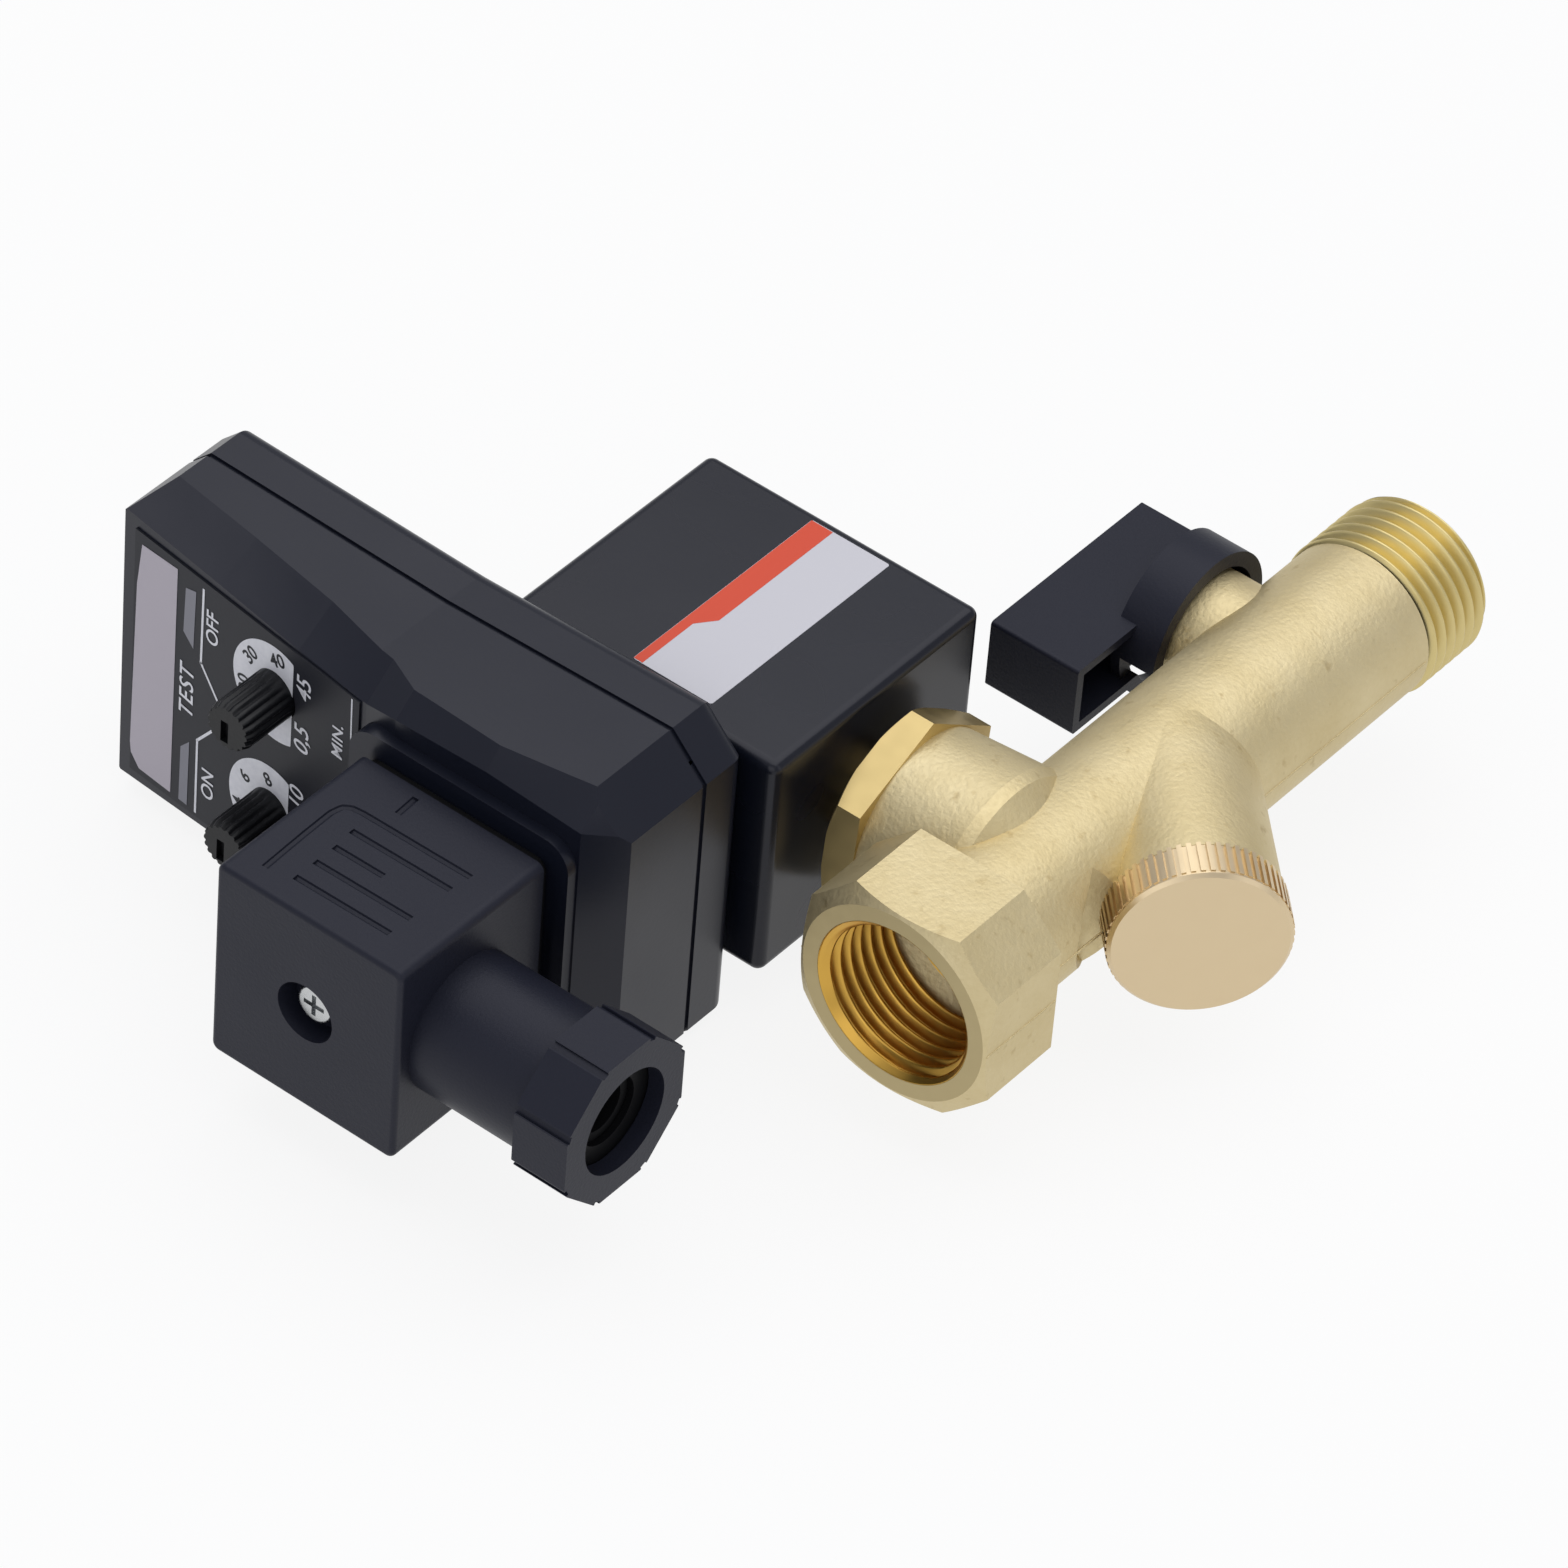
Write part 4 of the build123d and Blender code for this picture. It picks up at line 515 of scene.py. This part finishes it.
height = add(tree, "ShaderNodeMath", {0: height.outputs[0], 1: given["Outwards"]}, operation="MULTIPLY")
cut_radius = add(tree, "ShaderNodeMath", {0: height.outputs[0], 1: given["Root radius"]}, operation="ADD")
end_row = add(tree, "ShaderNodeMath", {0: given["Rows"], 1: 0.5}, operation="ADD")
past_start = add(tree, "ShaderNodeMath", {0: row.outputs[0], 1: 0.5}, operation="GREATER_THAN")
before_end = add(tree, "ShaderNodeMath", {0: row.outputs[0], 1: end_row.outputs[0]}, operation="LESS_THAN")
on_thread = add(tree, "ShaderNodeMath", {0: past_start.outputs[0], 1: before_end.outputs[0]},
                operation="MULTIPLY")
radius = add(tree, "ShaderNodeMapRange", {"Value": on_thread.outputs[0], "To Min": given["Back radius"],
                                          "To Max": cut_radius.outputs[0]})
angle = add(tree, "ShaderNodeMath", {0: turn_share.outputs[0], 1: 2 * math.pi}, operation="MULTIPLY")
cosine = add(tree, "ShaderNodeMath", {0: angle.outputs[0]}, operation="COSINE")
sine = add(tree, "ShaderNodeMath", {0: angle.outputs[0]}, operation="SINE")
x_part = add(tree, "ShaderNodeMath", {0: radius.outputs[0], 1: cosine.outputs[0]}, operation="MULTIPLY")
z_part = add(tree, "ShaderNodeMath", {0: radius.outputs[0], 1: sine.outputs[0]}, operation="MULTIPLY")
y_part = add(tree, "ShaderNodeMath", {0: depth_in.outputs[0], 1: given["Direction"]}, operation="MULTIPLY")
y_part = add(tree, "ShaderNodeMath", {0: y_part.outputs[0], 1: given["Mouth"]}, operation="ADD")
wrapped = add(tree, "ShaderNodeCombineXYZ",
              {0: x_part.outputs[0], 1: y_part.outputs[0], 2: z_part.outputs[0]})
bent = add(tree, "GeometryNodeSetPosition",
           {"Geometry": grid.outputs["Mesh"], "Position": wrapped.outputs[0]})
closed = add(tree, "GeometryNodeMergeByDistance", {"Geometry": bent.outputs[0], "Distance": 0.000001})
smooth = add(tree, "GeometryNodeSetShadeSmooth", {"Geometry": closed.outputs[0], "Shade Smooth": True})
real = add(tree, "GeometryNodeRealizeInstances", {"Geometry": smooth.outputs[0]})
dressed = add(tree, "GeometryNodeSetMaterial", {"Geometry": real.outputs[0], "Material": given["Metal"]})
add(tree, "NodeGroupOutput", {"Geometry": dressed.outputs[0]})


def grow(name, tree, values, body, start=None):
    """Runs a tree on a carrier mesh and keeps the result as a plain piece."""
    piece = bpy.data.objects.new(name, start or bpy.data.meshes.new(name))
    bpy.context.scene.collection.objects.link(piece)
    modifier = piece.modifiers.new("tree", "NODES")
    modifier.node_group = tree
    for item in tree.interface.items_tree:
        if item.in_out == "INPUT" and item.name in values:
            modifier[item.identifier] = values[item.name]
    bpy.context.view_layer.update()
    made = bpy.data.meshes.new_from_object(piece.evaluated_get(bpy.context.evaluated_depsgraph_get()))
    piece.modifiers.clear()
    turned_out = bmesh.new()
    turned_out.from_mesh(made)
    bmesh.ops.recalc_face_normals(turned_out, faces=turned_out.faces)
    turned_out.to_mesh(made)
    turned_out.free()
    piece.data = made
    if body:
        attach(piece, body)
    print(name, len(made.polygons), "faces")
    return piece


grow("inlet_thread", thread_tree, {
    "Root radius": ROOT_R, "Back radius": 9.0 * MM, "Height": CREST_R - ROOT_R, "Outwards": 1.0,
    "Pitch": PITCH,
    "Mouth": 0.0, "Direction": -1.0, "Length": 12.0 * MM, "Rows": 120, "Columns": 96, "Metal": run_turned},
    "valve")
# The inner thread takes the socket's brass, whose deeper gold is painted shade.
grow("outlet_thread", thread_tree, {
    "Root radius": CREST_R, "Back radius": 10.54 * MM, "Height": CREST_R - ROOT_R, "Outwards": -1.0,
    "Pitch": PITCH,
    "Mouth": MOUTH_Y * MM, "Direction": 1.0, "Length": 12.4 * MM, "Rows": 124, "Columns": 96,
    "Metal": bore_turned_painted_shade}, "valve")

# %% [markdown]
# The forging itself is plain at both ends in CAD, at the crest of one thread and the
# root of the other. A merged copy of it makes room: the points of the outer cylinder
# move in below the thread, and those of the socket's wall move out behind it. Moving
# points keeps the shell closed, where cutting faces away would leave a hole to mend.

# %% Body with room for its threads
def merged_copy(node):
    """A copy of a CAD piece with its triangles joined, as a bmesh, and its corner normals."""
    source = nodes[node].data
    normals = [corner.vector.copy() for corner in source.corner_normals]
    shell = bmesh.new()
    shell.from_mesh(source)
    bmesh.ops.remove_doubles(shell, verts=shell.verts, dist=0.0000002)
    return shell, normals


def keep_piece(shell, name, finish, node, body, normals=None):
    """Turns a bmesh into the piece that stands for a CAD node."""
    mesh = bpy.data.meshes.new(name)
    shell.to_mesh(mesh)
    shell.free()
    mesh.materials.clear()
    mesh.materials.append(finish)
    mesh.shade_smooth()
    if normals and len(normals) == len(mesh.loops):
        mesh.normals_split_custom_set(normals)
    else:
        mesh.set_sharp_from_angle(angle=math.radians(30))
    piece = bpy.data.objects.new(name, mesh)
    bpy.context.scene.collection.objects.link(piece)
    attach(piece, body)
    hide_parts(node)
    return piece


UNDER_THREAD_R = 9.25
BEHIND_THREAD_R = 10.56
MOUTH_R = 10.5
shell, corner_normals = merged_copy("body")
moved = 0
for vertex in shell.verts:
    x, y, z = vertex.co / MM
    r = math.hypot(x, z)
    target = None
    if y > -12.01 and r > 10.12:
        target = UNDER_THREAD_R
    elif abs(y - MOUTH_Y) < 0.02 and 9.55 < r < 9.7:
        target = MOUTH_R
    elif -98.1 < y < -85.6 and abs(r - 9.3155) < 0.02:
        target = BEHIND_THREAD_R
    if target:
        vertex.co.x *= target / r
        vertex.co.z *= target / r
        moved += 1
valve_body = keep_piece(shell, "valve_body", forged, "body", "valve", corner_normals)
# Faces inside the socket take the socket's brass with its painted shade; the flat end face takes its own turned
# finish.
valve_body.data.materials.append(bore_turned_painted_shade)
valve_body.data.materials.append(face_turned)
for face in valve_body.data.polygons:
    corners = [valve_body.data.vertices[i].co / MM for i in face.vertices]
    furthest = max(c.y for c in corners)
    widest = max(math.hypot(c.x, c.z) for c in corners)
    if furthest < -98.15:
        face.material_index = 2
    elif furthest < -80 and (widest < 9.4 or (furthest < -85 and widest < 10.6)):
        face.material_index = 1
print("valve_body", moved, "points moved,", len(corner_normals), "corner normals for",
      len(valve_body.data.loops), "corners")

# %% [markdown]
# The two halves of the forging die leave a thin ridge where they meet. It follows a
# path, so a second tree draws it: the path's edges become a curve, a small ring is
# swept along it, and noise on the curve's radius makes the trimmed flash uneven. The
# same tree, with a fatter ring, gives the cutters of the moulded panel further down.

# %% Ridge tree and parting line
ridge_tree, given = new_tree("ridge", (
    ("Geometry", "NodeSocketGeometry"), ("Ridge radius", "NodeSocketFloat"), ("Unevenness",
                                                                              "NodeSocketFloat"),
    ("Step", "NodeSocketFloat"), ("Seed", "NodeSocketFloat"), ("Metal", "NodeSocketMaterial")))
tree = ridge_tree
path = add(tree, "GeometryNodeMeshToCurve", {"Mesh": given["Geometry"]})
path = add(tree, "GeometryNodeResampleCurve", {"Curve": path.outputs[0], "Length": given["Step"]},
           mode="LENGTH")
wobble = add(tree, "ShaderNodeTexNoise", {"Scale": per_metre(2.5), "W": given["Seed"]},
             noise_dimensions="4D")
wobble = add(tree, "ShaderNodeMapRange", {"Value": wobble.outputs[0], "To Min": 0.0,
                                          "To Max": given["Unevenness"]})
wobble = add(tree, "ShaderNodeMath", {0: 1.0, 1: wobble.outputs[0]}, operation="SUBTRACT")
path = add(tree, "GeometryNodeSetCurveRadius", {"Curve": path.outputs[0], "Radius": wobble.outputs[0]})
ring = add(tree, "GeometryNodeCurvePrimitiveCircle", {"Resolution": 8, "Radius": given["Ridge radius"]})
swept = add(tree, "GeometryNodeCurveToMesh",
            {"Curve": path.outputs[0], "Profile Curve": ring.outputs[0], "Fill Caps": True})
real = add(tree, "GeometryNodeRealizeInstances", {"Geometry": swept.outputs[0]})
dressed = add(tree, "GeometryNodeSetMaterial", {"Geometry": real.outputs[0], "Material": given["Metal"]})
add(tree, "NodeGroupOutput", {"Geometry": dressed.outputs[0]})


def carve(piece, cutter):
    """Cuts a closed cutter out of a piece, removes the cutter and gives the new mesh."""
    cut = piece.modifiers.new("cut", "BOOLEAN")
    cut.operation = "DIFFERENCE"
    cut.solver = "EXACT"
    cut.object = cutter
    bpy.context.view_layer.update()
    made = bpy.data.meshes.new_from_object(piece.evaluated_get(bpy.context.evaluated_depsgraph_get()))
    piece.modifiers.clear()
    piece.data = made
    bpy.data.objects.remove(cutter)
    return made


def path_mesh(name, paths_mm):
    """A mesh of loose edges along lists of points in millimetres."""
    points, edges = [], []
    for stretch in paths_mm:
        first = len(points)
        points += [tuple(c * MM for c in p) for p in stretch]
        edges += [(first + i, first + i + 1) for i in range(len(stretch) - 1)]
    mesh = bpy.data.meshes.new(name)
    mesh.from_pydata(points, edges, [])
    return mesh


grow("parting_line", ridge_tree, {"Ridge radius": 0.16 * MM, "Unevenness": 0.7, "Step": 0.8 * MM,
                                  "Seed": 3.0, "Metal": forged},
     "valve", path_mesh("parting_line", [
         [(10.08, -12.4, 0), (10.08, -43.6, 0), (22.6, -56.1, 0)],
         [(10.08, -72.8, 0), (10.08, -83.4, 0)],
         [(12.98, -85.7, 0), (12.98, -97.9, 0)],
         [(-10.08, -12.4, 0), (-10.08, -15.0, 0)],
         [(-10.08, -36.0, 0), (-10.08, -58.0, 0)],
         [(-12.98, -85.7, 0), (-12.98, -97.9, 0)]]))

# %% [markdown]
# The top of the cable plug has an open frame and a few writing lines moulded into it.
# They are real grooves, so a merged copy of the plug is cut with swept rounds by a
# Boolean modifier; drawing them with a bump would lose their shadows from the side.
# The cut leaves long thin triangles, which shade badly, so every corner outside the
# grooves takes its direction from the CAD piece, weighted by where it lies on a triangle.

# %% Plug with its moulded panel
PLUG_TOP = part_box("plug_housing")[1][2] / MM
print("plug top at", round(PLUG_TOP, 2), "mm")
frame_path = [(-55.4, -140.0), (-55.7, -133.0), (-55.8, -128.4), (-55.5, -127.0), (-54.7, -126.4),
              (-53.2, -126.2), (-37.9, -126.0)]
grooves = [frame_path,
           [(-52.3, -129.2), (-38.2, -129.0)], [(-52.0, -132.4), (-45.0, -132.3)],
           [(-52.0, -135.6), (-38.4, -135.4)], [(-52.0, -138.9), (-38.6, -138.7)],
           [(-50.3, -123.7), (-50.5, -120.4)]]
cutter = grow("panel_cutter", ridge_tree,
              {"Ridge radius": 0.5 * MM, "Unevenness": 0.0, "Step": 0.5 * MM, "Seed": 0.0, "Metal": nylon},
              None, path_mesh("panel_cutter",
                                    [[(x, y, PLUG_TOP + 0.12) for x, y in g] for g in grooves]))
shell, _ = merged_copy("plug_housing")
plug_shell = keep_piece(shell, "plug_shell", nylon, "plug_housing", "valve")
carved = carve(plug_shell, cutter)
source = nodes["plug_housing"].data
source_tree = BVHTree.FromPolygons([v.co for v in source.vertices],
                                   [tuple(p.vertices) for p in source.polygons])
GROOVE_GAP = 0.004 * MM
normals = [None] * len(carved.loops)
grooved = 0
for face in carved.polygons:
    _, _, nearest, gap = source_tree.find_nearest(face.center)
    triangle = source.polygons[nearest]
    corners = [source.vertices[i].co for i in triangle.vertices]
    in_groove = gap > GROOVE_GAP
    grooved += in_groove
    for loop in face.loop_indices:
        shares = poly_3d_calc(corners, carved.vertices[carved.loops[loop].vertex_index].co)
        carried = sum((source.corner_normals[c].vector * w for c, w in zip(triangle.loop_indices, shares)),
                      Vector())
        normals[loop] = face.normal.copy() if in_groove or carried.length < 0.1 else carried.normalized()
carved.shade_smooth()
carved.normals_split_custom_set(normals)
print("plug_shell", len(carved.polygons), "faces,", grooved, "in grooves")

# %% [markdown]
# The coil carries a foil label on its top: white, with a red band along the timer side
# that widens towards the valve. Its text is left off. Each colour is a thin closed
# plate with cut corners, under a tenth of a millimetre thick, the red one on the white.

# %% Coil label
def thin_plate(name, outline, z_low, z_high, finish):
    """A closed plate between two heights from an outline of (x, y) in millimetres."""
    made = bmesh.new()
    face = made.faces.new([made.verts.new((x * MM, y * MM, z_low * MM)) for x, y in outline])
    raised = bmesh.ops.extrude_face_region(made, geom=[face])
    for item in raised["geom"]:
        if isinstance(item, bmesh.types.BMVert):
            item.co.z = z_high * MM
    bmesh.ops.recalc_face_normals(made, faces=made.faces)
    mesh = bpy.data.meshes.new(name)
    made.to_mesh(mesh)
    made.free()
    mesh.materials.append(finish)
    piece = bpy.data.objects.new(name, mesh)
    bpy.context.scene.collection.objects.link(piece)
    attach(piece, "valve")
    return piece


COIL_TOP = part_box("coil_housing")[1][2] / MM
label_white = moulded("white_label_foil", "#C4C3C9", 0.4, 0.9, 0.04, ripple=0.05, shine=0.35)
label_red = moulded("red_label_print", "#CF4A30", 0.4, 0.9, 0.04, ripple=0.05, shine=0.3)
thin_plate("coil_label", [(-46.5, -87.8), (-46.3, -88.0), (-35.4, -88.0), (-35.2, -87.8), (-35.2, -56.3),
                          (-35.4, -56.1),
                          (-46.3, -56.1), (-46.5,
                                           -56.3)], COIL_TOP - 0.02, COIL_TOP + 0.05, label_white)
thin_plate("coil_label_band", [(-46.45, -87.9), (-45.2, -87.9), (-45.2, -79.0), (-43.4, -76.6),
                               (-43.4, -56.2), (-46.45, -56.2)],
           COIL_TOP + 0.03, COIL_TOP + 0.08, label_red)
print("label on the coil at", round(COIL_TOP, 2), "mm")

# %% [markdown]
# Each dial is a push-on knob with fine grip ribs, the kind moulded in one piece with a
# short pointer mark in its tip. The ribs repeat round the knob, so a tree makes them: a
# cylinder with a few points for each rib, whose side is pushed in and out by a cosine
# of the angle. The tip ring is drawn in for a soft edge, and the pointer is cut after.

# %% Knob tree
knob_tree, given = new_tree("ribbed_knob", (
    ("Radius", "NodeSocketFloat"), ("Length", "NodeSocketFloat"), ("Ribs", "NodeSocketInt"), ("Rib depth",
                                                                                              "NodeSocketFloat"),
    ("Skirt", "NodeSocketFloat"), ("Plastic", "NodeSocketMaterial")))
tree = knob_tree
around = add(tree, "ShaderNodeMath", {0: given["Ribs"], 1: 8.0}, operation="MULTIPLY")
barrel = add(tree, "GeometryNodeMeshCylinder",
             {"Vertices": around.outputs[0], "Side Segments": 12, "Fill Segments": 3,
                                                "Radius": given["Radius"], "Depth": given["Length"]},
                                                fill_type="NGON")
at = add(tree, "GeometryNodeInputPosition")
spot = add(tree, "ShaderNodeSeparateXYZ", {0: at.outputs[0]})
angle = add(tree, "ShaderNodeMath", {0: spot.outputs[1], 1: spot.outputs[0]}, operation="ARCTAN2")
angle = add(tree, "ShaderNodeMath", {0: angle.outputs[0], 1: given["Ribs"]}, operation="MULTIPLY")
wave = add(tree, "ShaderNodeMath", {0: angle.outputs[0]}, operation="COSINE")
wave = add(tree, "ShaderNodeMapRange", {"Value": wave.outputs[0], "From Min": -0.9, "From Max": 0.3,
                                        "To Min": 1.0, "To Max": 0.0})
half = add(tree, "ShaderNodeMath", {0: given["Length"], 1: 0.5}, operation="MULTIPLY")
above = add(tree, "ShaderNodeMath", {0: spot.outputs[2], 1: half.outputs[0]}, operation="ADD")
ribbed = add(tree, "ShaderNodeMath", {0: above.outputs[0], 1: given["Skirt"]}, operation="GREATER_THAN")
cut_in = add(tree, "ShaderNodeMath", {0: wave.outputs[0], 1: ribbed.outputs[0]}, operation="MULTIPLY")
cut_in = add(tree, "ShaderNodeMath", {0: cut_in.outputs[0], 1: given["Rib depth"]}, operation="MULTIPLY")
cut_in = add(tree, "ShaderNodeMath", {0: cut_in.outputs[0], 1: given["Radius"]}, operation="DIVIDE")
at_tip = add(tree, "ShaderNodeMath", {0: spot.outputs[2], 1: half.outputs[0], 2: 0.00001},
             operation="COMPARE")
draw_in = add(tree, "ShaderNodeMath", {0: at_tip.outputs[0], 1: 0.09}, operation="MULTIPLY")
keep = add(tree, "ShaderNodeMath", {0: 1.0, 1: cut_in.outputs[0]}, operation="SUBTRACT")
keep = add(tree, "ShaderNodeMath", {0: keep.outputs[0], 1: draw_in.outputs[0]}, operation="SUBTRACT")
x_part = add(tree, "ShaderNodeMath", {0: spot.outputs[0], 1: keep.outputs[0]}, operation="MULTIPLY")
y_part = add(tree, "ShaderNodeMath", {0: spot.outputs[1], 1: keep.outputs[0]}, operation="MULTIPLY")
pushed = add(tree, "ShaderNodeCombineXYZ", {0: x_part.outputs[0], 1: y_part.outputs[0], 2: spot.outputs[2]})
shaped = add(tree, "GeometryNodeSetPosition",
             {"Geometry": barrel.outputs["Mesh"], "Position": pushed.outputs[0]})
real = add(tree, "GeometryNodeRealizeInstances", {"Geometry": shaped.outputs[0]})
dressed = add(tree, "GeometryNodeSetMaterial", {"Geometry": real.outputs[0], "Material": given["Plastic"]})
add(tree, "NodeGroupOutput", {"Geometry": dressed.outputs[0]})

# %% [markdown]
# The knob stands along -Y. A matrix whose columns are the knob's own directions turns
# it, and the middle between its root in the housing and its tip puts it in place.

# %% Two dials
KNOB_LEN = 10.0 * MM
for name, node, body in (("off_dial_cap", "off_time_knob", "off_dial"),
                         ("on_dial_cap", "on_time_knob", "on_dial")):
    low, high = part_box(node)
    middle_x, middle_z = (low[0] + high[0]) / 2, (low[2] + high[2]) / 2
    radius = (high[0] - low[0]) / 2
    tip_y, root_y = low[1], low[1] + KNOB_LEN
    knob = grow(name, knob_tree, {"Radius": radius, "Length": root_y - tip_y, "Ribs": 18,
                                  "Rib depth": 0.28 * MM,
                                  "Skirt": 2.9 * MM, "Plastic": knob_plastic}, None)
    knob.data.transform(Matrix(((1, 0, 0, middle_x), (0, 0, -1, (tip_y + root_y) / 2), (0, 1, 0, middle_z),
                                (0, 0, 0, 1))))
    notch = bmesh.new()
    bmesh.ops.create_cube(notch, size=1.0)
    bmesh.ops.scale(notch, vec=(1.1 * MM, 1.8 * MM, 3.0 * MM), verts=notch.verts)
    bmesh.ops.translate(notch, vec=(middle_x - 0.4 * MM, tip_y, middle_z - 0.7 * MM), verts=notch.verts)
    notch_mesh = bpy.data.meshes.new("pointer_cutter")
    notch.to_mesh(notch_mesh)
    notch_mesh.materials.append(knob_plastic)
    notch.free()
    pointer = bpy.data.objects.new("pointer_cutter", notch_mesh)
    bpy.context.scene.collection.objects.link(pointer)
    made = carve(knob, pointer)
    made.shade_smooth()
    made.set_sharp_from_angle(angle=math.radians(35))
    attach(knob, body)
    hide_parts(node)
